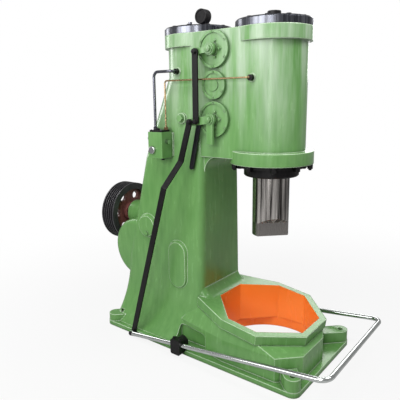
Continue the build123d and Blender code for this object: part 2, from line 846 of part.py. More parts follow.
# Clamps on the treadle's arms, each with a pivot pin
with BuildPart() as near_treadle_clamp:
    with BuildSketch(Plane.XZ.offset(treadle_half - clamp_width / 2)):
        with Locations((treadle_pivot_x, treadle_pivot_z - clamp_drop)):
            RectangleRounded(clamp_length, clamp_height, clamp_edge)
    extrude(amount=clamp_width)
    with BuildSketch(Plane.XZ.offset(treadle_half - clamp_width / 2 - pivot_run)):
        with Locations((treadle_pivot_x, treadle_pivot_z)):
            Circle(pivot_radius)
    extrude(amount=pivot_run)
    with BuildSketch(
        Plane(
            origin=treadle_plane.from_local_coords((-clamp_length, -treadle_half, 0)),
            x_dir=(0, 1, 0),
            z_dir=treadle_plane.x_dir,
        )
    ):
        Circle(treadle_radius + clamp_clearance)
    extrude(amount=2 * clamp_length, mode=Mode.SUBTRACT)
near_treadle_clamp.part.label = "near_treadle_clamp"
export_step(near_treadle_clamp.part, "parts/near_treadle_clamp.step")

with BuildPart() as far_treadle_clamp:
    add(mirror(near_treadle_clamp.part, about=Plane.XZ))
far_treadle_clamp.part.label = "far_treadle_clamp"
export_step(far_treadle_clamp.part, "parts/far_treadle_clamp.step")

# Pivot brackets that stand on the base flange
with BuildPart() as near_treadle_bracket:
    with BuildSketch(Plane.XZ.offset(bracket_front_y - bracket_depth)):
        with Locations((treadle_pivot_x, base_flange)):
            Rectangle(bracket_length, treadle_pivot_z - base_flange, align=(Align.CENTER, Align.MIN))
        with Locations((treadle_pivot_x, treadle_pivot_z)):
            Circle(bracket_length / 2)
            Circle(pivot_radius + fit_clearance, mode=Mode.SUBTRACT)
    extrude(amount=bracket_depth)
near_treadle_bracket.part.label = "near_treadle_bracket"
export_step(near_treadle_bracket.part, "parts/near_treadle_bracket.step")

with BuildPart() as far_treadle_bracket:
    add(mirror(near_treadle_bracket.part, about=Plane.XZ))
far_treadle_bracket.part.label = "far_treadle_bracket"
export_step(far_treadle_bracket.part, "parts/far_treadle_bracket.step")

# Ram: turned bar with two flats at its foot, set across the machine's corner
tang_plane = Plane(
    origin=(0, 0, ram_bottom_z),
    x_dir=(cos(radians(ram_tang_turn)), sin(radians(ram_tang_turn)), 0),
    z_dir=(-sin(radians(ram_tang_turn)), cos(radians(ram_tang_turn)), 0),
)
with BuildPart() as ram:
    with BuildSketch(Plane.XY.offset(ram_bottom_z)):
        Circle(ram_radius)
    extrude(amount=ram_length)
    chamfer(ram.edges().group_by(Axis.Z)[-1], length=ram_edge)
    with BuildSketch(tang_plane):
        for side in (-1, 1):
            Polygon(
                (side * ram_tang_half, 0),
                (side * (ram_radius + ram_edge), 0),
                (side * (ram_radius + ram_edge), -ram_tang_height - ram_shoulder),
                (side * ram_tang_half, -ram_tang_height),
                align=None,
            )
    extrude(amount=ram_radius + ram_edge, both=True, mode=Mode.SUBTRACT)
ram.part.label = "ram"
export_step(ram.part, "parts/ram.step")

# Gland under the front cylinder
with BuildPart() as gland_ring:
    with BuildSketch(Plane.XZ):
        with BuildLine():
            Polyline(
                (ram_radius + fit_clearance, gland_bottom_z),
                (gland_radius - gland_edge, gland_bottom_z),
                (gland_radius, gland_bottom_z + gland_edge),
                (gland_radius, foot_flange_bottom_z - gland_plate),
                (gland_plate_radius, foot_flange_bottom_z - gland_plate),
                (gland_plate_radius, foot_flange_bottom_z),
                (ram_radius + fit_clearance, foot_flange_bottom_z),
                close=True,
            )
        make_face()
    revolve(axis=Axis.Z)
gland_ring.part.label = "gland_ring"
export_step(gland_ring.part, "parts/gland_ring.step")

# Bearing cap, shaft and pulley behind the column
with BuildPart() as bearing_cap:
    with BuildSketch(Plane.YZ.offset(hub_rear_x - bearing_cap_thickness)):
        with Locations((0, shaft_z)):
            Circle(bearing_cap_radius)
            Circle(shaft_radius + pin_clearance, mode=Mode.SUBTRACT)
    extrude(amount=bearing_cap_thickness)
bearing_cap.part.label = "bearing_cap"
export_step(bearing_cap.part, "parts/bearing_cap.step")

with BuildPart() as crankshaft_end:
    with BuildSketch(Plane.YZ.offset(shaft_rear_x)):
        with Locations((0, shaft_z)):
            Circle(shaft_radius)
    extrude(amount=hub_bore_front_x - shaft_gap - shaft_rear_x)
    chamfer(crankshaft_end.edges().group_by(Axis.X)[0], length=ram_edge)
crankshaft_end.part.label = "crankshaft_end"
export_step(crankshaft_end.part, "parts/crankshaft_end.step")

shaft_axis = Axis((0, 0, shaft_z), (1, 0, 0))
with BuildPart() as pulley_rim:
    with BuildSketch(Plane.XZ):
        with Locations((pulley_mid_x, shaft_z + pulley_radius - rim_depth / 2)):
            Rectangle(pulley_width, rim_depth)
        with Locations((pulley_mid_x, shaft_z + pulley_radius)):
            with GridLocations(groove_pitch, 0, groove_count, 1):
                Polygon(
                    (-groove_top / 2, 0), (groove_top / 2, 0),
                    (groove_bottom / 2, -groove_depth), (-groove_bottom / 2, -groove_depth),
                    align=None, mode=Mode.SUBTRACT,
                )
    revolve(axis=shaft_axis)
pulley_rim.part.label = "pulley_rim"
export_step(pulley_rim.part, "parts/pulley_rim.step")

with BuildPart() as pulley_web:
    with BuildSketch(Plane.YZ.offset(pulley_mid_x)):
        with Locations((0, shaft_z)):
            Circle(pulley_radius - rim_depth)
            with PolarLocations(pulley_hole_circle, pulley_holes):
                Circle(pulley_hole_radius, mode=Mode.SUBTRACT)
    extrude(amount=web_thickness / 2, both=True)
    with BuildSketch(Plane.YZ.offset(pulley_mid_x)):
        with Locations((0, shaft_z)):
            Circle(pulley_hub_radius)
    extrude(amount=pulley_width / 2 - pulley_hub_inset, both=True)
    with BuildSketch(Plane.YZ.offset(pulley_mid_x)):
        with Locations((0, shaft_z)):
            Circle(shaft_radius)
    extrude(amount=pulley_width, both=True, mode=Mode.SUBTRACT)
pulley_web.part.label = "pulley_web"
export_step(pulley_web.part, "parts/pulley_web.step")

# Side plug on its boss
with BuildPart() as side_plug:
    with BuildSketch(Plane.XZ.offset(pad_face)):
        with Locations((plug_x, plug_z)):
            RegularPolygon(plug_radius, 6)
    extrude(amount=plug_height)
side_plug.part.label = "side_plug"
export_step(side_plug.part, "parts/side_plug.step")

# Lubricator box with its lid, knob and dial
with BuildPart() as lubricator_box:
    with BuildSketch(Plane.XY.offset(lubricator_bottom_z)):
        with Locations((lubricator_x, -pad_face - lubricator_depth / 2)):
            Rectangle(lubricator_width, lubricator_depth)
    extrude(amount=lubricator_height)
    fillet(lubricator_box.edges().filter_by(Axis.Z).group_by(Axis.Y)[0], radius=lubricator_edge)
lubricator_box.part.label = "lubricator_box"
export_step(lubricator_box.part, "parts/lubricator_box.step")

with BuildPart() as lubricator_lid:
    with BuildSketch(Plane.XY.offset(lubricator_top_z)):
        with Locations((lubricator_x, -pad_face - lubricator_depth / 2)):
            RectangleRounded(lid_width, lid_depth, lubricator_edge)
    extrude(amount=lid_height)
    with BuildSketch(Plane.XY.offset(pipe_root_z)):
        with Locations((lubricator_x, lubricator_front_y + filler_shift)):
            Circle(filler_radius)
    extrude(amount=filler_height)
lubricator_lid.part.label = "lubricator_lid"
export_step(lubricator_lid.part, "parts/lubricator_lid.step")

with BuildPart() as lubricator_knob:
    with BuildSketch(Plane.YZ.offset(lubricator_x + lubricator_width / 2)):
        with Locations((-pad_face - lubricator_depth / 2, knob_z)):
            Circle(knob_radius)
    extrude(amount=knob_length)
lubricator_knob.part.label = "lubricator_knob"
export_step(lubricator_knob.part, "parts/lubricator_knob.step")

with BuildPart() as lubricator_dial:
    with BuildSketch(Plane.XZ.offset(-lubricator_front_y)):
        with Locations((lubricator_x - dial_shift, lubricator_top_z - lubricator_height + dial_drop)):
            Circle(dial_radius)
    extrude(amount=dial_length)
    fillet(lubricator_dial.edges().group_by(Axis.Y)[0], radius=cover_round)
lubricator_dial.part.label = "lubricator_dial"
export_step(lubricator_dial.part, "parts/lubricator_dial.step")

# Steel pipe from the lubricator to the rear barrel
with BuildPart() as steel_oil_pipe:
    with BuildLine():
        FilletPolyline(
            (steel_pipe_x, steel_pipe_y, pipe_root_z),
            (steel_pipe_x, steel_pipe_y, steel_pipe_z),
            (steel_pipe_end_x, steel_pipe_y, steel_pipe_z),
            (steel_pipe_end_x, -fitting_face - fitting_length, steel_pipe_z),
            radius=pipe_bend,
        )
    with BuildSketch(Plane.XY.offset(pipe_root_z)):
        with Locations((steel_pipe_x, steel_pipe_y)):
            Circle(steel_pipe_radius)
    sweep()
    with BuildSketch(Plane.XY.offset(pipe_root_z)):
        with Locations((steel_pipe_x, steel_pipe_y)):
            RegularPolygon(union_radius, 6)
    extrude(amount=union_length)
steel_oil_pipe.part.label = "steel_oil_pipe"
export_step(steel_oil_pipe.part, "parts/steel_oil_pipe.step")

# Copper pipe from the lubricator across the chest to the front barrel
with BuildPart() as copper_oil_pipe:
    with BuildLine():
        FilletPolyline(
            (copper_pipe_x, copper_pipe_y, pipe_root_z),
            (copper_pipe_x, copper_pipe_y, copper_pipe_z),
            (front_fitting_x, copper_pipe_y, copper_pipe_z),
            (front_fitting_x, -fitting_face - fitting_length, copper_pipe_z),
            radius=copper_bend,
        )
    with BuildSketch(Plane.XY.offset(pipe_root_z)):
        with Locations((copper_pipe_x, copper_pipe_y)):
            Circle(copper_pipe_radius)
    sweep()
    with BuildSketch(Plane.XY.offset(pipe_root_z)):
        with Locations((copper_pipe_x, copper_pipe_y)):
            RegularPolygon(union_radius, 6)
    extrude(amount=union_length)
copper_oil_pipe.part.label = "copper_oil_pipe"
export_step(copper_oil_pipe.part, "parts/copper_oil_pipe.step")

# Fittings where the pipes enter the barrels
with BuildPart() as rear_barrel_fitting:
    with BuildSketch(Plane.XZ.offset(fitting_face)):
        with Locations((steel_pipe_end_x, steel_pipe_z)):
            RegularPolygon(fitting_radius, 6)
    extrude(amount=fitting_length)
rear_barrel_fitting.part.label = "rear_barrel_fitting"
export_step(rear_barrel_fitting.part, "parts/rear_barrel_fitting.step")

with BuildPart() as front_barrel_fitting:
    with BuildSketch(Plane.XZ.offset(fitting_face)):
        with Locations((front_fitting_x, copper_pipe_z)):
            RegularPolygon(fitting_radius, 6)
    extrude(amount=fitting_length)
front_barrel_fitting.part.label = "front_barrel_fitting"
export_step(front_barrel_fitting.part, "parts/front_barrel_fitting.step")
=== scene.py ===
"""Looks of a self-contained forging hammer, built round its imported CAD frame.

Metres, +Z up. The ram axis is X = 0, Y = 0, +X points from the column to the ram,
and -Y is the side with the valve levers.
"""

import math

import bpy
import numpy as np
from mathutils import Matrix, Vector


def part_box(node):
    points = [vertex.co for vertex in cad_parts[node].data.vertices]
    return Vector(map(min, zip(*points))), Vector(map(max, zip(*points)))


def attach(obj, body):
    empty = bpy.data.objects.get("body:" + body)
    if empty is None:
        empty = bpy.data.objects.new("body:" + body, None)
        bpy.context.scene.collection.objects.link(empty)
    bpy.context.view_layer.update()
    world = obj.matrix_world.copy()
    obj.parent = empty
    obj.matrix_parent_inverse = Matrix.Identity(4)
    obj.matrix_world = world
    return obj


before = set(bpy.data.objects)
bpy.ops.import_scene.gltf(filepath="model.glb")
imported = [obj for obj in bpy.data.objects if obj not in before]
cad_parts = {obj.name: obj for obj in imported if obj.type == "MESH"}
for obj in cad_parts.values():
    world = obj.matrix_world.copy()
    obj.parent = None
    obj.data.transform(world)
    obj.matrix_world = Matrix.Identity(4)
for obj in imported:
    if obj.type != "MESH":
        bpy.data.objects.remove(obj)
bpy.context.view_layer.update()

bl_info = {
    "name": "Forging hammer dressing",
    "version": (1, 0, 0),
    "blender": (4, 5, 0),
    "location": "View3D > Sidebar > Hammer",
    "description": "Finishes, fasteners and studio for a forging hammer",
    "category": "Object",
}


def linear(hex_colour):
    """Linear RGB of an sRGB hex colour."""
    channels = [int(hex_colour[i:i + 2], 16) / 255 for i in (1, 3, 5)]
    return tuple(c / 12.92 if c <= 0.04045 else ((c + 0.055) / 1.055) ** 2.4 for c in channels)


def colour(name, text, hex_colour):
    """A colour property with its default from an sRGB hex value."""
    return bpy.props.FloatVectorProperty(
        name=name, description=text, default=linear(hex_colour), subtype="COLOR", size=3, min=0, max=1,
    )


def length(name, text, metres):
    """A length property in metres."""
    return bpy.props.FloatProperty(name=name, description=text, default=metres, unit="LENGTH", precision=4)


def number(name, text, value):
    """A plain number property."""
    return bpy.props.FloatProperty(name=name, description=text, default=value)


def count(name, text, value):
    """A whole number property."""
    return bpy.props.IntProperty(name=name, description=text, default=value, min=3)


def near_face(node):
    """The -Y face of a node."""
    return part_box(node)[0].y


def middle_of(node):
    """The middle of a node's box."""
    low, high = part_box(node)
    return tuple((a + b) / 2 for a, b in zip(low, high))


class HammerColours(bpy.types.PropertyGroup):
    """Colours of the paints and metals."""

    green: colour("Green", "Machine enamel in full light", "#6a9a58")
    green_deep: colour("Deep green", "Machine enamel where it lies thicker", "#5f8f4f")
    # Pale green: painted highlight along the edges, also standing for enamel worn thin there
    green_edge_highlight: colour("Pale green", "Machine enamel thinned over an edge", "#cfe6c6")
    # Bloom: a pale painted sheen in streaks, standing for the gloss mirroring the room on the upper parts
    painted_sheen: colour("Bloom", "Chalky film left by wiping the enamel", "#c6d3c3")
    orange: colour("Orange", "Primer of the anvil well", "#ff9440")
    orange_deep: colour("Deep orange", "Primer where it lies thicker", "#ff7f2a")
    black: colour("Black", "Black enamel of the rods", "#141214")
    black_deep: colour("Deep black", "Black enamel where it lies thicker", "#0c0b0c")
    # Worn black: painted highlight along the edges, also standing for enamel worn thin there
    black_edge_highlight: colour("Worn black", "Black enamel thinned over an edge", "#2e2b2e")
    rim: colour("Rim", "Thin black enamel of the pulley's rim", "#39373b")
    rim_deep: colour("Deep rim", "Rim enamel where it lies thicker", "#2a282c")
    # Worn rim: painted highlight along the edges, also standing for enamel worn thin there
    rim_edge_highlight: colour("Worn rim", "Rim enamel thinned over an edge", "#6e6c70")
    red: colour("Red", "Red enamel of the pulley's web", "#945e58")
    red_deep: colour("Deep red", "Red enamel where it lies thicker", "#7a4b46")
    # Worn red: painted highlight along the edges, also standing for enamel worn thin there
    red_edge_highlight: colour("Worn red", "Red enamel thinned over an edge", "#b06454")
    # Dark and light steel: the two colours of a painted reflection, banded round the axis
    steel_reflection_dark: colour("Dark steel", "Dark bands of turned steel", "#3a3735")
    steel_reflection_bright: colour("Light steel", "Bright bands of turned steel", "#f0eae5")
    # Dark and light cover: the two colours of a painted reflection, banded round the axis
    cover_reflection_dark: colour("Dark cover", "Dark bands of the cylinder covers", "#36383e")
    cover_reflection_bright: colour("Light cover", "Bright bands of the cylinder covers", "#7c7e86")
    polished: colour("Polished steel", "Polished bar of the treadle", "#d6dad8")
    pipe: colour("Pipe steel", "Plain steel tube", "#74757f")
    black_steel: colour("Black steel", "Forged flat bar with its scale", "#4a4a50")
    copper: colour("Copper", "Drawn copper tube", "#c2a47c")
    floor: colour("Floor", "Studio floor and background", "#ffffff")


class HammerSizes(bpy.types.PropertyGroup):
    """Sizes of the fasteners."""

    cover_screws: count("Cover screws", "Socket screws in each cylinder cover", 10)
    cover_screw_circle: length("Cover screw circle", "Radius of their circle", 0.222)
    cover_screw_radius: length("Cover screw radius", "Radius of a socket screw's head", 0.018)
    gland_bolts: count("Gland bolts", "Bolts in the gland's plate", 8)
    gland_bolt_circle: length("Gland bolt circle", "Radius of their circle", 0.232)
    gland_bolt_radius: length("Gland bolt radius", "Radius across the corners of a head", 0.022)
    flange_nuts: count("Flange nuts", "Nuts under the front cylinder's flange", 10)
    flange_nut_circle: length("Flange nut circle", "Radius of their circle", 0.284)
    flange_nut_radius: length("Flange nut radius", "Radius across the corners of a nut", 0.0195)
    valve_screws: count("Valve cover screws", "Screws round each valve cover", 6)
    valve_screw_radius: length("Valve cover screw radius", "Radius of a screw's head", 0.0085)
    hub_bolts: count("Hub bolts", "Bolts round each valve spindle", 5)
    hub_bolt_circle: length("Hub bolt circle", "Radius of their circle", 0.058)
    hub_bolt_radius: length("Hub bolt radius", "Radius across the corners of a head", 0.0095)
    pin_nut_radius: length("Pin nut radius", "Radius across the corners of a lever pin's nut", 0.0185)
    spindle_nut_radius: length("Spindle nut radius", "Radius across the corners of a spindle's nut", 0.023)
    clamp_bolt_radius: length("Clamp bolt radius", "Radius across the corners of a clamp's bolt", 0.0105)
    cap_bolts: count("Bearing cap bolts", "Bolts in the bearing cap", 6)
    cap_bolt_circle: length("Bearing cap circle", "Radius of their circle", 0.077)
    cap_bolt_radius: length("Bearing cap bolt", "Radius across the corners of a head", 0.0115)


class HammerStudio(bpy.types.PropertyGroup):
    """Camera and light."""

    focal_length: number("Focal length", "Lens of the camera in millimetres", 42.1)
    azimuth: bpy.props.FloatProperty(
        name="Azimuth", description="Turn of the view from -Y towards +X",
        default=math.radians(38.063), subtype="ANGLE",
    )
    pitch: bpy.props.FloatProperty(
        name="Pitch", description="Tilt of the view downwards", default=math.radians(12.306), subtype="ANGLE",
    )
    roll: bpy.props.FloatProperty(
        name="Roll", description="Turn of the picture", default=math.radians(-0.776), subtype="ANGLE",
    )
    place: bpy.props.FloatVectorProperty(
        name="Camera place", description="Where the camera stands", default=(1.697, -3.028, 1.978),
        size=3, subtype="TRANSLATION", unit="LENGTH",
    )
    key_watts: number("Key light", "Power of the wide light before the machine", 104.0)
    top_watts: number("Top light", "Power of the light overhead", 100.0)
    strip_watts: number("Strip light", "Power of the upright light before the cylinders", 60.0)
    rear_watts: number("Rear light", "Power of the upright light behind the pulley", 60.0)
    far_watts: number("Far light", "Power of the light on the far side", 70.0)
    side_watts: number("Side light", "Power of the high light on the front cylinder's side", 78.0)
    ambient: number("Ambient", "Level of the light from all round", 0.11)
    mirrored: number("Mirrored", "Level of the room as the gloss mirrors it", 0.40)


def put(tree, kind, inputs=None, **settings):
    """Adds a node with its settings; an input that is a socket is linked, any other is set."""
    node = tree.nodes.new(kind)
    for name, value in settings.items():
        setattr(node, name, value)
    for key, value in (inputs or {}).items():
        if isinstance(value, bpy.types.NodeSocket):
            tree.links.new(value, node.inputs[key])
        else:
            node.inputs[key].default_value = value
    return node


def opaque(rgb):
    """A colour with its alpha."""
    return (*rgb, 1.0)


def blank_material(name):
    """A new material with only its shader, and that shader's tree and Object coordinates."""
    material = bpy.data.materials.new(name)
    material.use_nodes = True
    tree = material.node_tree
    shader = tree.nodes["Principled BSDF"]
    place = put(tree, "ShaderNodeTexCoord").outputs["Object"]
    return material, tree, shader, place


def per_metre(millimetres):
    """Scale of a pattern that repeats every so many millimetres."""
    return 1000.0 / millimetres


def well_mask(tree, place, split):
    """Node that is 1 inside the octagon of the anvil well and in the round relief at its foot."""
    low, high = WELL_HALF
    across = put(tree, "ShaderNodeMath", {0: split.outputs["X"]}, operation="ABSOLUTE")
    along = put(tree, "ShaderNodeMath", {0: split.outputs["Y"]}, operation="ABSOLUTE")
    x_share = put(tree, "ShaderNodeMath", {0: across.outputs[0], 1: low}, operation="DIVIDE")
    y_share = put(tree, "ShaderNodeMath", {0: along.outputs[0], 1: high}, operation="DIVIDE")
    both = put(tree, "ShaderNodeMath", {0: across.outputs[0], 1: along.outputs[0]}, operation="ADD")
    slant = put(tree, "ShaderNodeMath", {0: both.outputs[0], 1: WELL_DIAGONAL}, operation="DIVIDE")
    flats = put(tree, "ShaderNodeMath", {0: x_share.outputs[0], 1: y_share.outputs[0]}, operation="MAXIMUM")
    ring = put(tree, "ShaderNodeMath", {0: flats.outputs[0], 1: slant.outputs[0]}, operation="MAXIMUM")
    inside = put(tree, "ShaderNodeMath", {0: ring.outputs[0], 1: WELL_MARGIN}, operation="LESS_THAN")
    under = put(tree, "ShaderNodeMath", {0: split.outputs["Z"], 1: WELL_TOP}, operation="LESS_THAN")
    well = put(tree, "ShaderNodeMath", {0: inside.outputs[0], 1: under.outputs[0]}, operation="MULTIPLY")
    level = put(tree, "ShaderNodeVectorMath", {0: place, 1: (1.0, 1.0, 0.0)}, operation="MULTIPLY")
    reach = put(tree, "ShaderNodeVectorMath", {0: level.outputs[0]}, operation="LENGTH")
    near = put(
        tree, "ShaderNodeMath",
        {0: reach.outputs["Value"], 1: RELIEF_RADIUS + RELIEF_MARGIN}, operation="LESS_THAN",
    )
    low_down = put(
        tree, "ShaderNodeMath",
        {0: split.outputs["Z"], 1: RELIEF_HEIGHT + RELIEF_MARGIN}, operation="LESS_THAN",
    )
    relief = put(tree, "ShaderNodeMath", {0: near.outputs[0], 1: low_down.outputs[0]}, operation="MULTIPLY")
    mask = put(tree, "ShaderNodeMath", {0: well.outputs[0], 1: relief.outputs[0]}, operation="MAXIMUM")
    return mask


def enamel(name, body, deep, highlight, edge, gloss, painted_sheen=0.0, with_well=False):
    """Gloss machine enamel brushed on cast iron: soft gloss over a slightly wavy skin,
    thicker and deeper in broad patches. Over the edges the colour turns pale as a painted highlight,
    which also stands for enamel worn thin there; edge is the width of that painted highlight in
    metres and its share, gloss the IOR and the mean roughness. Inner corners are darkened with
    painted shade, and the seventh argument is the share of a pale painted sheen, in streaks,
    that grows towards the cylinder heads.
    The anvil well has an orange primer, up to the collar's inner edge."""
    material, tree, shader, place = blank_material(name)
    colours = bpy.context.scene.hammer_colours
    patches = put(tree, "ShaderNodeTexNoise", {"Vector": place, "Scale": per_metre(PATCH_MM), "Detail": 3.0})
    brushed = put(tree, "ShaderNodeMapping", {"Vector": place, "Scale": (1.0, 1.0, 0.16)})
    brush = put(
        tree, "ShaderNodeTexNoise",
        {"Vector": brushed.outputs[0], "Scale": per_metre(BRUSH_MM), "Detail": 2.0},
    )
    mottle = put(
        tree, "ShaderNodeMath", {0: patches.outputs["Fac"], 1: brush.outputs["Fac"]}, operation="ADD",
    )
    depth = put(
        tree, "ShaderNodeMapRange",
        {"Value": mottle.outputs[0], "From Min": 0.78, "From Max": 1.22},
    )
    paint = put(
        tree, "ShaderNodeMix",
        {0: depth.outputs[0], 6: opaque(deep), 7: opaque(body)}, data_type="RGBA",
    )
    split = put(tree, "ShaderNodeSeparateXYZ", {0: place})
    # Painted sheen: pale streaks mixed into the colour more and more with height towards the cylinder heads,
    # standing for gloss reflection
    height = put(
        tree, "ShaderNodeMapRange",
        {"Value": split.outputs["Z"], "From Min": SHEEN_FROM, "From Max": SHEEN_TO, "To Max": painted_sheen},
        interpolation_type="SMOOTHSTEP",
    )
    sheen_place = put(tree, "ShaderNodeMapping", {"Vector": place, "Scale": (1.0, 1.0, 0.10)})
    sheen_noise = put(
        tree, "ShaderNodeTexNoise",
        {"Vector": sheen_place.outputs[0], "Scale": per_metre(SHEEN_STREAK_MM), "Detail": 4.0, "Roughness": 0.6},
    )
    sheen_streaks = put(
        tree, "ShaderNodeMapRange", {"Value": sheen_noise.outputs["Fac"], "From Min": 0.34, "From Max": 0.66},
    )
    sheen_share = put(
        tree, "ShaderNodeMath", {0: height.outputs[0], 1: sheen_streaks.outputs[0]}, operation="MULTIPLY",
    )
    sheened = put(
        tree, "ShaderNodeMix",
        {0: sheen_share.outputs[0], 6: paint.outputs[2], 7: opaque(colours.painted_sheen)}, data_type="RGBA",
    )
    # Painted edge highlight: where the rounded normal turns from the flat one, the colour is mixed towards
    # the pale colour; it also stands for enamel worn thin there
    rounded = put(tree, "ShaderNodeBevel", {"Radius": edge[0]}, samples=8)
    flat = put(tree, "ShaderNodeNewGeometry")
    turn = put(
        tree, "ShaderNodeVectorMath",
        {0: rounded.outputs[0], 1: flat.outputs["Normal"]}, operation="DOT_PRODUCT",
    )
    highlight_share = put(
        tree, "ShaderNodeMapRange",
        {"Value": turn.outputs["Value"], "From Min": 0.985, "From Max": 0.86, "To Max": edge[1]},
    )
    highlighted = put(
        tree, "ShaderNodeMix",
        {0: highlight_share.outputs[0], 6: sheened.outputs[2], 7: opaque(highlight)}, data_type="RGBA",
    )
    # Painted shade: ambient occlusion darkens the colour in inner corners, under flanges and round the
    # covers, where shade falls
    corner = put(tree, "ShaderNodeAmbientOcclusion", {"Distance": SHADE_REACH}, samples=6, only_local=False)
    corner_shade = put(
        tree, "ShaderNodeMapRange",
        {"Value": corner.outputs["AO"], "From Min": 0.85, "From Max": 0.30, "To Max": 0.75},
    )
    shade_colour = tuple(SHADE_SHARE * channel for channel in deep)
    shaded = put(
        tree, "ShaderNodeMix",
        {0: corner_shade.outputs[0], 6: highlighted.outputs[2], 7: opaque(shade_colour)}, data_type="RGBA",
    )
    top_coat = shaded.outputs[2]
    if with_well:
        mask = well_mask(tree, place, split)
        primer = put(
            tree, "ShaderNodeMix",
            {0: patches.outputs["Fac"], 6: opaque(colours.orange_deep), 7: opaque(colours.orange)},
            data_type="RGBA",
        )
        coats = put(
            tree, "ShaderNodeMix",
            {0: mask.outputs[0], 6: shaded.outputs[2], 7: primer.outputs[2]}, data_type="RGBA",
        )
        top_coat = coats.outputs[2]
    tree.links.new(top_coat, shader.inputs["Base Color"])
    skin = put(
        tree, "ShaderNodeTexNoise",
        {"Vector": place, "Scale": per_metre(SKIN_MM), "Detail": 4.0, "Roughness": 0.55},
    )
    strokes = put(
        tree, "ShaderNodeBump",
        {"Height": brush.outputs["Fac"], "Distance": 0.0015, "Strength": 0.3, "Normal": rounded.outputs[0]},
    )
    rough_cast = put(
        tree, "ShaderNodeBump",
        {"Height": skin.outputs["Fac"], "Distance": 0.0012, "Strength": 0.4, "Normal": strokes.outputs[0]},
    )
    tree.links.new(rough_cast.outputs[0], shader.inputs["Normal"])
    dulling = put(
        tree, "ShaderNodeMapRange",
        {
            "Value": mottle.outputs[0], "From Min": 0.7, "From Max": 1.3,
            "To Min": 0.8 * gloss[1], "To Max": 1.2 * gloss[1],
        },
    )
    tree.links.new(dulling.outputs[0], shader.inputs["Roughness"])
    shader.inputs["IOR"].default_value = gloss[0]
    return material


def turned_metal(name, dark, light, sectors, roughness, around, rings=0.0, dull_below=0.0):
    """Turned steel with painted reflection: dark and bright bands painted by turns round its axis stand for
    the light a lathe-cut face mirrors, with fine lengthwise scores. around is the axis in X, Y and sectors
    the number of bands in a radian. Upward faces are mixed towards the bright colour as a painted highlight.
    rings is the pitch in millimetres of the feed marks on a faced end, drawn coarser than the
    real ones so that they show. The milled part under dull_below is dark and even."""
    material, tree, shader, place = blank_material(name)
    centred = put(tree, "ShaderNodeVectorMath", {0: place, 1: (*around, 0.0)}, operation="SUBTRACT")
    level = put(
        tree, "ShaderNodeVectorMath", {0: centred.outputs[0], 1: (1.0, 1.0, 0.0)}, operation="MULTIPLY",
    )
    reach = put(tree, "ShaderNodeVectorMath", {0: level.outputs[0]}, operation="LENGTH")
    ray = put(tree, "ShaderNodeVectorMath", {0: level.outputs[0]}, operation="NORMALIZE")
    drift = put(tree, "ShaderNodeVectorMath", {0: place, 1: (0.0, 0.0, 0.12)}, operation="MULTIPLY")
    bearing = put(tree, "ShaderNodeVectorMath", {0: ray.outputs[0], 1: drift.outputs[0]}, operation="ADD")
    wide = put(
        tree, "ShaderNodeTexNoise",
        {"Vector": bearing.outputs[0], "Scale": sectors, "Detail": 2.0, "Roughness": 0.6},
    )
    fine = put(
        tree, "ShaderNodeTexNoise", {"Vector": bearing.outputs[0], "Scale": 6 * sectors, "Detail": 2.0},
    )
    sum_of = put(
        tree, "ShaderNodeMath", {0: fine.outputs["Fac"], 1: 0.45, 2: wide.outputs["Fac"]},
        operation="MULTIPLY_ADD",
    )
    share = put(
        tree, "ShaderNodeMapRange", {"Value": sum_of.outputs[0], "From Min": 0.60, "From Max": 0.86},
    )
    # Painted reflection: bands of the dark and light colour round the axis
    lay = put(
        tree, "ShaderNodeMix", {0: share.outputs[0], 6: opaque(dark), 7: opaque(light)}, data_type="RGBA",
    )
    grey = tuple(0.7 * a + 0.3 * b for a, b in zip(dark, light))
    split = put(tree, "ShaderNodeSeparateXYZ", {0: place})
    milled = put(tree, "ShaderNodeMath", {0: split.outputs["Z"], 1: dull_below}, operation="LESS_THAN")
    facing = put(tree, "ShaderNodeNewGeometry")
    upward = put(tree, "ShaderNodeSeparateXYZ", {0: facing.outputs["Normal"]})
    faced = put(tree, "ShaderNodeMath", {0: upward.outputs["Z"], 1: 0.9}, operation="GREATER_THAN")
    # Painted highlight: upward faces are mixed towards the light colour
    top_highlight = put(tree, "ShaderNodeMath", {0: faced.outputs[0], 1: 0.7}, operation="MULTIPLY")
    lit_tops = put(
        tree, "ShaderNodeMix", {0: top_highlight.outputs[0], 6: lay.outputs[2], 7: opaque(light)}, data_type="RGBA",
    )
    both = put(
        tree, "ShaderNodeMix", {0: milled.outputs[0], 6: lit_tops.outputs[2], 7: opaque(grey)}, data_type="RGBA",
    )
    tree.links.new(both.outputs[2], shader.inputs["Base Color"])
    shader.inputs["Metallic"].default_value = 1.0
    gloss = put(
        tree, "ShaderNodeMapRange",
        {"Value": fine.outputs["Fac"], "To Min": roughness * 0.7, "To Max": roughness * 1.3},
    )
    tree.links.new(gloss.outputs[0], shader.inputs["Roughness"])
    rounded = put(tree, "ShaderNodeBevel", {"Radius": 0.003}, samples=4)
    scored = put(
        tree, "ShaderNodeBump",
        {"Height": fine.outputs["Fac"], "Distance": 0.0004, "Strength": 0.3, "Normal": rounded.outputs[0]},
    )
    skin = scored
    if rings:
        turns = put(
            tree, "ShaderNodeMath", {0: reach.outputs["Value"], 1: 2 * math.pi * per_metre(rings)},
            operation="MULTIPLY",
        )
        wave = put(tree, "ShaderNodeMath", {0: turns.outputs[0]}, operation="SINE")
        cut = put(tree, "ShaderNodeMath", {0: wave.outputs[0], 1: faced.outputs[0]}, operation="MULTIPLY")
        skin = put(
            tree, "ShaderNodeBump",
            {"Height": cut.outputs[0], "Distance": 0.0003, "Strength": 0.4, "Normal": scored.outputs[0]},
        )
    tree.links.new(skin.outputs[0], shader.inputs["Normal"])
    return material


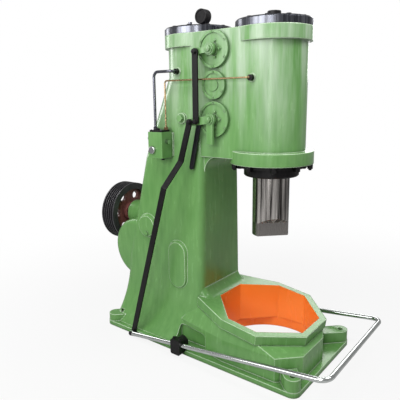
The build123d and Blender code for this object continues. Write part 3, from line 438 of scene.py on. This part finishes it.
def plain_metal(name, tone, grain, roughness):
    """Drawn or machined bar: an even metal with slight tarnish in patches and fine scratches.
    The grain is drawn a few times coarser than the real one so that it shows."""
    material, tree, shader, place = blank_material(name)
    tarnish = put(tree, "ShaderNodeTexNoise", {"Vector": place, "Scale": per_metre(grain * 8), "Detail": 3.0})
    scratch = put(tree, "ShaderNodeTexNoise", {"Vector": place, "Scale": per_metre(grain), "Detail": 2.0})
    dull = tuple(0.62 * channel for channel in tone)
    shade = put(
        tree, "ShaderNodeMix",
        {0: tarnish.outputs["Fac"], 6: opaque(dull), 7: opaque(tone)}, data_type="RGBA",
    )
    tree.links.new(shade.outputs[2], shader.inputs["Base Color"])
    shader.inputs["Metallic"].default_value = 1.0
    gloss = put(
        tree, "ShaderNodeMapRange",
        {"Value": scratch.outputs["Fac"], "To Min": roughness * 0.6, "To Max": roughness * 1.4},
    )
    tree.links.new(gloss.outputs[0], shader.inputs["Roughness"])
    scored = put(
        tree, "ShaderNodeBump",
        {"Height": scratch.outputs["Fac"], "Distance": 0.0003, "Strength": 0.25},
    )
    tree.links.new(scored.outputs[0], shader.inputs["Normal"])
    return material


def grid_object(name, points, close_u=True, caps=True):
    """Mesh of one or more grids of points, given as an array (piece, row, column, xyz).
    Columns wrap when close_u is set; caps close the first and last rows."""
    pieces, rows, columns, _ = points.shape
    index = np.arange(pieces * rows * columns).reshape(pieces, rows, columns)
    after = np.roll(index, -1, axis=2) if close_u else index[:, :, 1:]
    here = index if close_u else index[:, :, :-1]
    quads = np.stack([here[:, :-1], after[:, :-1], after[:, 1:], here[:, 1:]], axis=-1).reshape(-1, 4)
    faces = quads.tolist()
    if caps:
        faces += index[:, 0, ::-1].tolist() + index[:, -1].tolist()
    mesh = bpy.data.meshes.new(name)
    mesh.from_pydata(points.reshape(-1, 3).tolist(), [], faces)
    mesh.polygons.foreach_set("use_smooth", np.ones(len(mesh.polygons), dtype=bool))
    mesh.set_sharp_from_angle(angle=math.radians(32))
    mesh.update()
    made = bpy.data.objects.new(name, mesh)
    bpy.context.scene.collection.objects.link(made)
    return made


def side_axes(axis):
    """Two unit vectors that stand square to an axis and to each other."""
    axis = np.asarray(axis, float) / np.linalg.norm(axis)
    other = np.array([0.0, 0.0, 1.0]) if abs(axis[2]) < 0.9 else np.array([1.0, 0.0, 0.0])
    first = np.cross(other, axis)
    first /= np.linalg.norm(first)
    return axis, first, np.cross(axis, first)


def turned_points(places, axis, profile, sides=24, turn=0.0):
    """Points of turned pieces set at places along an axis.
    Row i of the profile is (height, radius, hex share). At angle t the point lies at
    height h on the axis and at r * (1 + s * (k(t) - 1)) from it, where k(t) is the
    distance to a hexagon of unit corner radius, cos(30) / cos(t mod 60 - 30)."""
    axis, first, second = side_axes(axis)
    profile = np.asarray(profile, float)
    angle = np.linspace(0, 2 * np.pi, sides, endpoint=False)
    hexagon = math.cos(math.pi / 6) / np.cos(np.mod(angle, np.pi / 3) - np.pi / 6)
    radius = profile[:, 1, None] * (1 + profile[:, 2, None] * (hexagon[None, :] - 1))
    spun = angle + turn
    ring = np.cos(spun)[:, None] * first + np.sin(spun)[:, None] * second
    shape = radius[:, :, None] * ring[None] + profile[:, 0, None, None] * axis
    return np.asarray(places, float)[:, None, None, :] + shape[None]


def ring_of(centre, axis, radius, number_of, start=0.0):
    """Places evenly round a circle: centre + radius * (cos t, sin t) across the axis."""
    _, first, second = side_axes(axis)
    angle = start + np.arange(number_of) * 2 * np.pi / number_of
    spread = np.cos(angle)[:, None] * first + np.sin(angle)[:, None] * second
    return np.asarray(centre, float) + radius * spread


def dress(piece, body, finish):
    """Gives a new piece its finish and the body it rides on."""
    piece.data.materials.append(bpy.data.materials[finish])
    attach(piece, body)
    return piece


def hex_bolt(radius, height, washer):
    """Profile of a hexagon head with a rounded crown, on its washer."""
    return [
        (-SEAT_SINK, washer, 0.0), (0.15 * height, washer, 0.0), (0.17 * height, 0.98 * radius, 1.0),
        (0.86 * height, radius, 1.0), (0.97 * height, 0.84 * radius, 0.5), (height, 0.66 * radius, 0.0),
    ]


def socket_screw(radius, height):
    """Profile of a round head with a hexagon socket."""
    return [
        (-SEAT_SINK, radius, 0.0), (0.8 * height, radius, 0.0), (height, 0.9 * radius, 0.0),
        (height, 0.58 * radius, 1.0), (0.3 * height, 0.58 * radius, 1.0),
    ]


def nut_and_stud(radius, height, stud):
    """Profile of a nut with the rounded end of its stud standing proud."""
    return [
        (-SEAT_SINK, radius, 1.0), (0.72 * height, radius, 1.0), (0.8 * height, 0.86 * radius, 0.4),
        (0.8 * height, stud, 0.0), (0.95 * height, stud, 0.0), (height, 0.7 * stud, 0.0),
    ]


# Sizes of the well in the casting, read as the source has them
WELL_HALF = (0.362, 0.386)
WELL_DIAGONAL = 0.362 + 0.386 - 0.242
RELIEF_RADIUS = 0.402
RELIEF_HEIGHT = 0.086
RELIEF_MARGIN = 0.001
WELL_MARGIN = 1.004
WELL_TOP = 0.6

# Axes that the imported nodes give
FRONT_LOW, FRONT_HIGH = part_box("front_cylinder_cover")
REAR_LOW, REAR_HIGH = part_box("rear_cylinder_cover")
FRONT_AXIS = ((FRONT_LOW.x + FRONT_HIGH.x) / 2, (FRONT_LOW.y + FRONT_HIGH.y) / 2)
REAR_AXIS = ((REAR_LOW.x + REAR_HIGH.x) / 2, (REAR_LOW.y + REAR_HIGH.y) / 2)
GLAND_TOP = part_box("gland_ring")[1].z
GLAND_PLATE = 0.026
RAM_FLATS_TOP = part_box("ram")[0].z + 0.100

# Places on the levers, the treadle and the lubricator, as the source has them
BAR_WIDTH = 0.046
ROD_ARM = 0.150
LEVER_REST = math.radians(7)
ROD_UPPER_FACE = -0.363
TAIL_LUG_FACE = -0.528
CLAMP_WIDTH = 0.058
LID_HEIGHT = 0.014
BOSS_PLUG = (-1.012, -0.306, 0.862)
CHEST_PLUG_SPOTS = ((-0.330, -0.105), (-0.318, 0.070))

# Heights, radii and insets of the fasteners; sizes of a bolt are radius, height and washer
SEAT_SINK = 0.001
COVER_SCREW_HEIGHT = 0.009
GLAND_BOLT_HEIGHT = 0.022
FLANGE_NUT_HEIGHT = 0.046
VALVE_SCREW_HEIGHT = 0.006
VALVE_SCREW_INSET = 0.0105
VALVE_DISH_DEPTH = 0.007
HUB_BOLT_HEIGHT = 0.016
PIN_NUT_HEIGHT = 0.017
PIN_NUT_SEAT = 0.004
PIN_STUD_RADIUS = 0.0095
PIN_WASHER_RADIUS = 0.0215
PIN_WASHER_HEIGHT = 0.003
SPINDLE_NUT_HEIGHT = 0.020
SPINDLE_STUD_RADIUS = 0.0125
FOOT_NUT_SHARE = 0.62
CLAMP_BOLT_HEIGHT = 0.011
CLAMP_BOLT_OFFSET = 0.030
LUBRICATOR_INSET = 0.030
ADJUSTER_RISES = (0.044, 0.148)
ADJUSTER_PROFILE = [
    (-SEAT_SINK, 0.006, 0.0), (0.006, 0.006, 0.0), (0.006, 0.0125, 0.0), (0.009, 0.0135, 0.0),
    (0.016, 0.0135, 0.0), (0.019, 0.0110, 0.0),
]
DRAIN_INSET = 0.020
DRAIN_SIZES = (0.0125, 0.015, 0.015)
LID_SCREW_INSET = 0.012
LID_SCREW_SIZES = (0.0055, 0.004)
CAP_BOLT_HEIGHT = 0.0085
BOSS_PLUG_SIZES = (0.019, 0.017, 0.022)
CHEST_PLUG_SIZES = (0.019, 0.026, 0.019)
CHEST_SEAT_HEIGHT = 0.006
CHEST_SEAT_RADIUS = 0.024
HUB_SCREWS = 3
HUB_SCREW_CIRCLE = 0.066
HUB_SCREW_SIZES = (0.010, 0.006)

# Patterns of the paint in millimetres, and its painted corner shade and painted sheen in metres
PATCH_MM = 330
BRUSH_MM = 34
# Streak scale of the painted sheen
SHEEN_STREAK_MM = 90
SKIN_MM = 26
# Reach and share of the painted shade in inner corners
SHADE_REACH = 0.035
SHADE_SHARE = 0.16
# Heights between which the painted sheen grows
SHEEN_FROM = 1.35
SHEEN_TO = 2.40

# Floor of the studio, and its lamps: name, power, place, aim, width and height
FLOOR_HALF = 9.0
FLOOR_DROP = 0.0005
FLOOR_TONE = "#c4c4c4"
LAMPS = (
    ("key_light", "key_watts", (-1.4, -4.3, 3.0), (-0.2, 0.0, 1.1), 3.4, 1.7),
    ("top_light", "top_watts", (0.2, -2.5, 4.9), (-0.1, 0.0, 0.8), 2.4, 1.6),
    ("strip_light", "strip_watts", (1.6, -4.25, 2.6), (-0.1, 0.0, 1.5), 0.7, 2.6),
    ("rear_light", "rear_watts", (-5.0, -0.3, 2.8), (-0.6, 0.0, 1.4), 1.0, 2.8),
    ("far_light", "far_watts", (-1.2, 4.6, 3.2), (-0.4, 0.0, 1.2), 2.4, 2.0),
    ("side_light", "side_watts", (1.9, 0.4, 4.4), (0.0, 0.0, 1.7), 1.2, 1.6),
)

# Which finish each node wears
NODE_FINISHES = {
    "green_casting": ["frame_casting"],
    "brushed_green_enamel": [
        "upper_valve_cover", "middle_valve_cover", "lower_valve_cover", "upper_valve_lever",
        "lower_valve_lever", "side_plug", "lubricator_box", "bearing_cap",
    ],
    "front_cover_steel": ["front_cylinder_cover"],
    "rear_cover_steel": ["rear_cylinder_cover"],
    "ram_steel": ["ram"],
    "polished_bar": ["treadle", "crankshaft_end", "lubricator_knob", "lubricator_dial"],
    "drawn_steel_tube": ["steel_oil_pipe", "cover_nipple"],
    "forged_bar": ["hand_lever"],
    "brushed_black_enamel": [
        "front_cover_plug", "breather_drum", "valve_link_bar", "push_rod", "near_treadle_clamp",
        "far_treadle_clamp", "near_treadle_bracket", "far_treadle_bracket", "gland_ring",
        "lubricator_lid", "rear_barrel_fitting", "front_barrel_fitting",
    ],
    "thin_black_enamel": ["pulley_rim"],
    "brushed_red_enamel": ["pulley_web"],
    "copper_tube": ["copper_oil_pipe"],
}


class HAMMER_OT_finishes(bpy.types.Operator):
    """Makes the finishes and gives each CAD node its own"""

    bl_idname = "hammer.finishes"
    bl_label = "Finishes"

    def execute(self, context):
        c = context.scene.hammer_colours
        enamel("green_casting", c.green, c.green_deep, c.green_edge_highlight, (0.011, 0.9), (1.45, 0.24), 0.62, True)
        enamel("brushed_green_enamel", c.green, c.green_deep, c.green_edge_highlight, (0.003, 0.3), (1.45, 0.24), 0.3)
        enamel("brushed_black_enamel", c.black, c.black_deep, c.black_edge_highlight, (0.003, 0.4), (1.32, 0.42))
        enamel("thin_black_enamel", c.rim, c.rim_deep, c.rim_edge_highlight, (0.003, 0.6), (1.45, 0.3))
        enamel("brushed_red_enamel", c.red, c.red_deep, c.red_edge_highlight, (0.004, 0.3), (1.38, 0.36))
        turned_metal("front_cover_steel", c.cover_reflection_dark, c.cover_reflection_bright, 2.6, 0.29, FRONT_AXIS, 9.0)
        turned_metal("rear_cover_steel", c.cover_reflection_dark, c.cover_reflection_bright, 2.6, 0.29, REAR_AXIS, 9.0)
        turned_metal("ram_steel", c.steel_reflection_dark, c.steel_reflection_bright, 4.2, 0.26, FRONT_AXIS, 0.0, RAM_FLATS_TOP)
        plain_metal("polished_bar", c.polished, 9, 0.16)
        plain_metal("drawn_steel_tube", c.pipe, 7, 0.26)
        plain_metal("forged_bar", c.black_steel, 9, 0.38)
        plain_metal("copper_tube", c.copper, 7, 0.28)
        for finish, nodes in NODE_FINISHES.items():
            for node in nodes:
                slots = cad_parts[node].data.materials
                slots.clear()
                slots.append(bpy.data.materials[finish])
        return {"FINISHED"}


class HAMMER_OT_cover_screws(bpy.types.Operator):
    """Adds the socket screws of the two cylinder covers"""

    bl_idname = "hammer.cover_screws"
    bl_label = "Cylinder cover screws"

    def execute(self, context):
        s = context.scene.hammer_sizes
        up = (0, 0, 1)
        profile = socket_screw(s.cover_screw_radius, COVER_SCREW_HEIGHT)
        for name, axis, top in (
            ("front_cover_screws", FRONT_AXIS, FRONT_HIGH.z),
            ("rear_cover_screws", REAR_AXIS, REAR_HIGH.z),
        ):
            places = ring_of((*axis, top), up, s.cover_screw_circle, s.cover_screws, math.radians(18))
            piece = grid_object(name, turned_points(places, up, profile))
            dress(piece, "frame", "brushed_black_enamel")
        return {"FINISHED"}


class HAMMER_OT_gland_bolts(bpy.types.Operator):
    """Adds the bolts of the gland and the nuts under the front cylinder's flange"""

    bl_idname = "hammer.gland_bolts"
    bl_label = "Gland bolts and flange nuts"

    def execute(self, context):
        s = context.scene.hammer_sizes
        down = (0, 0, -1)
        plate = (*FRONT_AXIS, GLAND_TOP - GLAND_PLATE)
        places = ring_of(plate, down, s.gland_bolt_circle, s.gland_bolts, math.radians(12))
        bolt = hex_bolt(s.gland_bolt_radius, GLAND_BOLT_HEIGHT, 1.15 * s.gland_bolt_radius)
        piece = grid_object("gland_bolts", turned_points(places, down, bolt))
        dress(piece, "frame", "brushed_black_enamel")
        places = ring_of((*FRONT_AXIS, GLAND_TOP), down, s.flange_nut_circle, s.flange_nuts, math.radians(4))
        nut = nut_and_stud(s.flange_nut_radius, FLANGE_NUT_HEIGHT, 0.55 * s.flange_nut_radius)
        piece = grid_object("flange_nuts", turned_points(places, down, nut))
        dress(piece, "frame", "brushed_black_enamel")
        return {"FINISHED"}


class HAMMER_OT_valve_screws(bpy.types.Operator):
    """Adds the screws of the valve covers and the bolts round their spindles"""

    bl_idname = "hammer.valve_screws"
    bl_label = "Valve cover screws"

    def execute(self, context):
        s = context.scene.hammer_sizes
        out = (0, -1, 0)
        for node in ("upper_valve_cover", "middle_valve_cover", "lower_valve_cover"):
            low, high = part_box(node)
            centre = ((low.x + high.x) / 2, low.y, (low.z + high.z) / 2)
            circle = (high.x - low.x) / 2 - VALVE_SCREW_INSET
            places = ring_of(centre, out, circle, s.valve_screws, math.radians(30))
            screw = socket_screw(s.valve_screw_radius, VALVE_SCREW_HEIGHT)
            piece = grid_object(node + "_screws", turned_points(places, out, screw))
            dress(piece, "frame", "brushed_green_enamel")
            if node == "middle_valve_cover":
                continue
            dished = (centre[0], low.y + VALVE_DISH_DEPTH, centre[2])
            places = ring_of(dished, out, s.hub_bolt_circle, s.hub_bolts, 0.0)
            bolt = hex_bolt(s.hub_bolt_radius, HUB_BOLT_HEIGHT, 1.2 * s.hub_bolt_radius)
            piece = grid_object(node + "_hub_bolts", turned_points(places, out, bolt))
            dress(piece, "frame", "brushed_green_enamel")
        return {"FINISHED"}


class HAMMER_OT_lever_nuts(bpy.types.Operator):
    """Adds the nuts and washers of the levers' spindles and pins"""

    bl_idname = "hammer.lever_nuts"
    bl_label = "Lever nuts"

    def execute(self, context):
        s = context.scene.hammer_sizes
        out = (0, -1, 0)
        pin = nut_and_stud(s.pin_nut_radius, PIN_NUT_HEIGHT, PIN_STUD_RADIUS)
        disc = [(-SEAT_SINK, PIN_WASHER_RADIUS, 0.0), (PIN_WASHER_HEIGHT, PIN_WASHER_RADIUS, 0.0)]
        washer = disc + [(h + PIN_NUT_SEAT, r, k) for h, r, k in pin]
        spindle = nut_and_stud(s.spindle_nut_radius, SPINDLE_NUT_HEIGHT, SPINDLE_STUD_RADIUS)
        low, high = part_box("valve_link_bar")
        half = BAR_WIDTH / 2
        middle = (low.x + high.x) / 2
        places = [(middle, low.y, low.z + half), (middle, low.y, high.z - half)]
        piece = grid_object("link_bar_nuts", turned_points(places, out, washer))
        dress(piece, "link", "brushed_black_enamel")
        for lever, cover, body in (
            ("upper_valve_lever", "upper_valve_cover", "upper_lever"),
            ("lower_valve_lever", "lower_valve_cover", "lower_lever"),
        ):
            centre = middle_of(cover)
            places = [(centre[0], near_face(lever), centre[2])]
            piece = grid_object(lever + "_nut", turned_points(places, out, spindle))
            dress(piece, body, "brushed_green_enamel")
        centre = middle_of("lower_valve_cover")
        reach = ROD_ARM * math.cos(LEVER_REST)
        drop = ROD_ARM * math.sin(LEVER_REST)
        top = (centre[0] - reach, ROD_UPPER_FACE, centre[2] - drop)
        low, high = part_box("push_rod")
        foot = (low.x + half, TAIL_LUG_FACE, low.z + half)
        short = [(h * FOOT_NUT_SHARE, r, k) for h, r, k in pin]
        points = np.concatenate([turned_points([top], out, pin), turned_points([foot], out, short)])
        piece = grid_object("push_rod_nuts", points)
        dress(piece, "push_rod", "brushed_black_enamel")
        return {"FINISHED"}


class HAMMER_OT_clamp_bolts(bpy.types.Operator):
    """Adds the bolts that close the treadle's clamps and hold their brackets"""

    bl_idname = "hammer.clamp_bolts"
    bl_label = "Clamp bolts"

    def execute(self, context):
        s = context.scene.hammer_sizes
        up = (0, 0, 1)
        bolt = hex_bolt(s.clamp_bolt_radius, CLAMP_BOLT_HEIGHT, 1.2 * s.clamp_bolt_radius)
        for side in ("near", "far"):
            low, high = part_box(side + "_treadle_clamp")
            sign = -1.0 if side == "near" else 1.0
            outer = low.y if side == "near" else high.y
            middle = (low.x + high.x) / 2
            across = np.array([-CLAMP_BOLT_OFFSET, CLAMP_BOLT_OFFSET])
            places = np.stack(
                [middle + across, np.full(2, outer - sign * CLAMP_WIDTH / 2), np.full(2, high.z)], axis=1,
            )
            piece = grid_object(side + "_clamp_bolts", turned_points(places, up, bolt))
            dress(piece, "treadle", "brushed_black_enamel")
        return {"FINISHED"}


class HAMMER_OT_lubricator_fittings(bpy.types.Operator):
    """Adds the adjusters, lid screws and drain plug of the lubricator"""

    bl_idname = "hammer.lubricator_fittings"
    bl_label = "Lubricator fittings"

    def execute(self, context):
        low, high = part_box("lubricator_box")
        places = [(low.x, low.y + LUBRICATOR_INSET, low.z + rise) for rise in ADJUSTER_RISES]
        piece = grid_object("lubricator_adjusters", turned_points(places, (-1, 0, 0), ADJUSTER_PROFILE))
        dress(piece, "frame", "brushed_black_enamel")
        drain = hex_bolt(*DRAIN_SIZES)
        places = [(high.x - DRAIN_INSET, low.y + LUBRICATOR_INSET, low.z)]
        piece = grid_object("lubricator_drain", turned_points(places, (0, 0, -1), drain))
        dress(piece, "frame", "brushed_black_enamel")
        left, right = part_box("lubricator_lid")
        across = (left.x + LID_SCREW_INSET, right.x - LID_SCREW_INSET)
        along = (left.y + LID_SCREW_INSET, right.y - LID_SCREW_INSET)
        corner = np.array([(x, y) for x in across for y in along])
        places = np.column_stack([corner, np.full(4, left.z + LID_HEIGHT)])
        screw = socket_screw(*LID_SCREW_SIZES)
        piece = grid_object("lubricator_lid_screws", turned_points(places, (0, 0, 1), screw, sides=16))
        dress(piece, "frame", "drawn_steel_tube")
        return {"FINISHED"}


class HAMMER_OT_casting_bolts(bpy.types.Operator):
    """Adds the bolts of the bearing cap, the plug of the round boss and the plugs of the chest's top"""

    bl_idname = "hammer.casting_bolts"
    bl_label = "Bolts on the casting"

    def execute(self, context):
        s = context.scene.hammer_sizes
        low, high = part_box("bearing_cap")
        back = (-1, 0, 0)
        centre = (low.x, (low.y + high.y) / 2, (low.z + high.z) / 2)
        places = ring_of(centre, back, s.cap_bolt_circle, s.cap_bolts, math.radians(15))
        bolt = hex_bolt(s.cap_bolt_radius, CAP_BOLT_HEIGHT, 1.15 * s.cap_bolt_radius)
        piece = grid_object("bearing_cap_bolts", turned_points(places, back, bolt))
        dress(piece, "frame", "brushed_black_enamel")
        plug = hex_bolt(*BOSS_PLUG_SIZES)
        piece = grid_object("boss_plug", turned_points([BOSS_PLUG], (0, -1, 0), plug))
        dress(piece, "frame", "brushed_green_enamel")
        places = [(x, y, FRONT_LOW.z) for x, y in CHEST_PLUG_SPOTS]
        head = [(h + CHEST_SEAT_HEIGHT, r, k) for h, r, k in hex_bolt(*CHEST_PLUG_SIZES)]
        seat = [(-SEAT_SINK, CHEST_SEAT_RADIUS, 0.0), (CHEST_SEAT_HEIGHT, CHEST_SEAT_RADIUS, 0.0)]
        piece = grid_object("chest_plugs", turned_points(places, (0, 0, 1), seat + head))
        dress(piece, "frame", "brushed_black_enamel")
        return {"FINISHED"}


class HAMMER_OT_pulley_fittings(bpy.types.Operator):
    """Adds the screws in both ends of the pulley's hub"""

    bl_idname = "hammer.pulley_fittings"
    bl_label = "Pulley hub screws"

    def execute(self, context):
        low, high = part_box("pulley_web")
        hub = (low.x, (low.y + high.y) / 2, (low.z + high.z) / 2)
        back = (-1, 0, 0)
        ahead = (1, 0, 0)
        screw = socket_screw(*HUB_SCREW_SIZES)
        places = ring_of(hub, back, HUB_SCREW_CIRCLE, HUB_SCREWS, math.radians(20))
        outer = turned_points(places, back, screw)
        places = ring_of((high.x, hub[1], hub[2]), ahead, HUB_SCREW_CIRCLE, HUB_SCREWS, math.radians(50))
        inner = turned_points(places, ahead, screw)
        piece = grid_object("pulley_hub_screws", np.concatenate([outer, inner]))
        dress(piece, "pulley", "brushed_black_enamel")
        return {"FINISHED"}


def white_world(scene, s):
    """World that the camera sees as white, and that lights and mirrors at lower levels."""
    world = bpy.data.worlds.new("studio_white")
    scene.world = world
    world.use_nodes = True
    tree = world.node_tree
    tree.nodes.clear()
    path = put(tree, "ShaderNodeLightPath")
    mirrored = put(
        tree, "ShaderNodeMapRange",
        {"Value": path.outputs["Is Glossy Ray"], "To Min": s.ambient, "To Max": s.mirrored},
    )
    level = put(
        tree, "ShaderNodeMath", {0: path.outputs["Is Camera Ray"], 1: mirrored.outputs[0]},
        operation="MAXIMUM",
    )
    white = put(
        tree, "ShaderNodeBackground",
        {"Color": opaque(scene.hammer_colours.floor), "Strength": level.outputs[0]},
    )
    put(tree, "ShaderNodeOutputWorld", {"Surface": white.outputs[0]})


def pale_floor(scene):
    """Pale plain floor that keeps the machine's shadow and fades to white away from it."""
    material, tree, shader, place = blank_material("studio_floor")
    shader.inputs["Base Color"].default_value = opaque(linear(FLOOR_TONE))
    shader.inputs["Roughness"].default_value = 0.9
    path = put(tree, "ShaderNodeLightPath")
    glow = put(tree, "ShaderNodeEmission", {"Color": opaque(scene.hammer_colours.floor), "Strength": 1.0})
    away = put(tree, "ShaderNodeVectorMath", {0: place}, operation="LENGTH")
    fade = put(
        tree, "ShaderNodeMapRange",
        {"Value": away.outputs["Value"], "From Min": 1.2, "From Max": 4.5, "To Min": 0.86, "To Max": 1.0},
        interpolation_type="SMOOTHSTEP",
    )
    most = put(
        tree, "ShaderNodeMath", {0: path.outputs["Is Camera Ray"], 1: fade.outputs[0]}, operation="MULTIPLY",
    )
    surface = put(
        tree, "ShaderNodeMixShader",
        {0: most.outputs[0], 1: shader.outputs[0], 2: glow.outputs[0]},
    )
    tree.links.new(surface.outputs[0], tree.nodes["Material Output"].inputs["Surface"])
    across = np.array([-1.0, 1.0, 1.0, -1.0]) * FLOOR_HALF
    along = np.array([-1.0, -1.0, 1.0, 1.0]) * FLOOR_HALF
    corners = np.stack([across, along, np.full(4, -FLOOR_DROP)], axis=1)
    mesh = bpy.data.meshes.new("floor")
    mesh.from_pydata(corners.tolist(), [], [(0, 1, 2, 3)])
    mesh.materials.append(material)
    floor = bpy.data.objects.new("floor", mesh)
    scene.collection.objects.link(floor)


def soft_lamps(scene, s):
    """Wide soft lamps, each turned so that its -Z axis points from its place to its aim."""
    for name, power, spot, aim, width, height in LAMPS:
        data = bpy.data.lights.new(name, "AREA")
        data.energy = getattr(s, power)
        data.shape = "RECTANGLE"
        data.size = width
        data.size_y = height
        lamp = bpy.data.objects.new(name, data)
        scene.collection.objects.link(lamp)
        back = np.array(spot) - np.array(aim)
        back, first, second = side_axes(back)
        lamp.matrix_world = Matrix(
            [(first[i], second[i], back[i], spot[i]) for i in range(3)] + [(0, 0, 0, 1)]
        )


def photo_camera(scene, s):
    """Camera at the photograph's angle, from azimuth, pitch and roll."""
    data = bpy.data.cameras.new("photo_view")
    data.sensor_fit = "HORIZONTAL"
    data.sensor_width = 36.0
    data.lens = s.focal_length
    data.clip_end = 60.0
    camera = bpy.data.objects.new("photo_view", data)
    scene.collection.objects.link(camera)
    a, q, r = s.azimuth, s.pitch, s.roll
    ahead = np.array([-math.sin(a) * math.cos(q), math.cos(a) * math.cos(q), -math.sin(q)])
    right = np.array([math.cos(a), math.sin(a), 0.0])
    up = np.cross(right, ahead)
    rolled = right * math.cos(r) + up * math.sin(r)
    upright = up * math.cos(r) - right * math.sin(r)
    camera.matrix_world = Matrix(
        [(rolled[i], upright[i], -ahead[i], s.place[i]) for i in range(3)] + [(0, 0, 0, 1)]
    )
    scene.camera = camera


class HAMMER_OT_studio(bpy.types.Operator):
    """Adds the floor, the lights and the camera"""

    bl_idname = "hammer.studio"
    bl_label = "Studio"

    def execute(self, context):
        scene = context.scene
        s = scene.hammer_studio
        white_world(scene, s)
        pale_floor(scene)
        soft_lamps(scene, s)
        photo_camera(scene, s)
        scene.view_settings.view_transform = "Standard"
        return {"FINISHED"}


class HAMMER_PT_panel(bpy.types.Panel):
    """Lists the steps of the dressing"""

    bl_idname = "HAMMER_PT_panel"
    bl_label = "Forging hammer"
    bl_space_type = "VIEW_3D"
    bl_region_type = "UI"
    bl_category = "Hammer"

    def draw(self, context):
        for step in STEPS:
            self.layout.operator(step.bl_idname)


STEPS = (
    HAMMER_OT_finishes,
    HAMMER_OT_cover_screws,
    HAMMER_OT_gland_bolts,
    HAMMER_OT_valve_screws,
    HAMMER_OT_lever_nuts,
    HAMMER_OT_clamp_bolts,
    HAMMER_OT_lubricator_fittings,
    HAMMER_OT_casting_bolts,
    HAMMER_OT_pulley_fittings,
    HAMMER_OT_studio,
)
GROUPS = {
    "hammer_colours": HammerColours,
    "hammer_sizes": HammerSizes,
    "hammer_studio": HammerStudio,
}


def register():
    """Registers the property groups, the steps and the panel."""
    for name, group in GROUPS.items():
        bpy.utils.register_class(group)
        setattr(bpy.types.Scene, name, bpy.props.PointerProperty(type=group))
    for step in STEPS:
        bpy.utils.register_class(step)
    bpy.utils.register_class(HAMMER_PT_panel)


def unregister():
    """Takes them out again."""
    bpy.utils.unregister_class(HAMMER_PT_panel)
    for step in reversed(STEPS):
        bpy.utils.unregister_class(step)
    for name, group in GROUPS.items():
        delattr(bpy.types.Scene, name)
        bpy.utils.unregister_class(group)


def main():
    """Registers the add-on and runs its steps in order."""
    register()
    for step in STEPS:
        group, name = step.bl_idname.split(".")
        getattr(getattr(bpy.ops, group), name)()


if __name__ == "__main__":
    main()
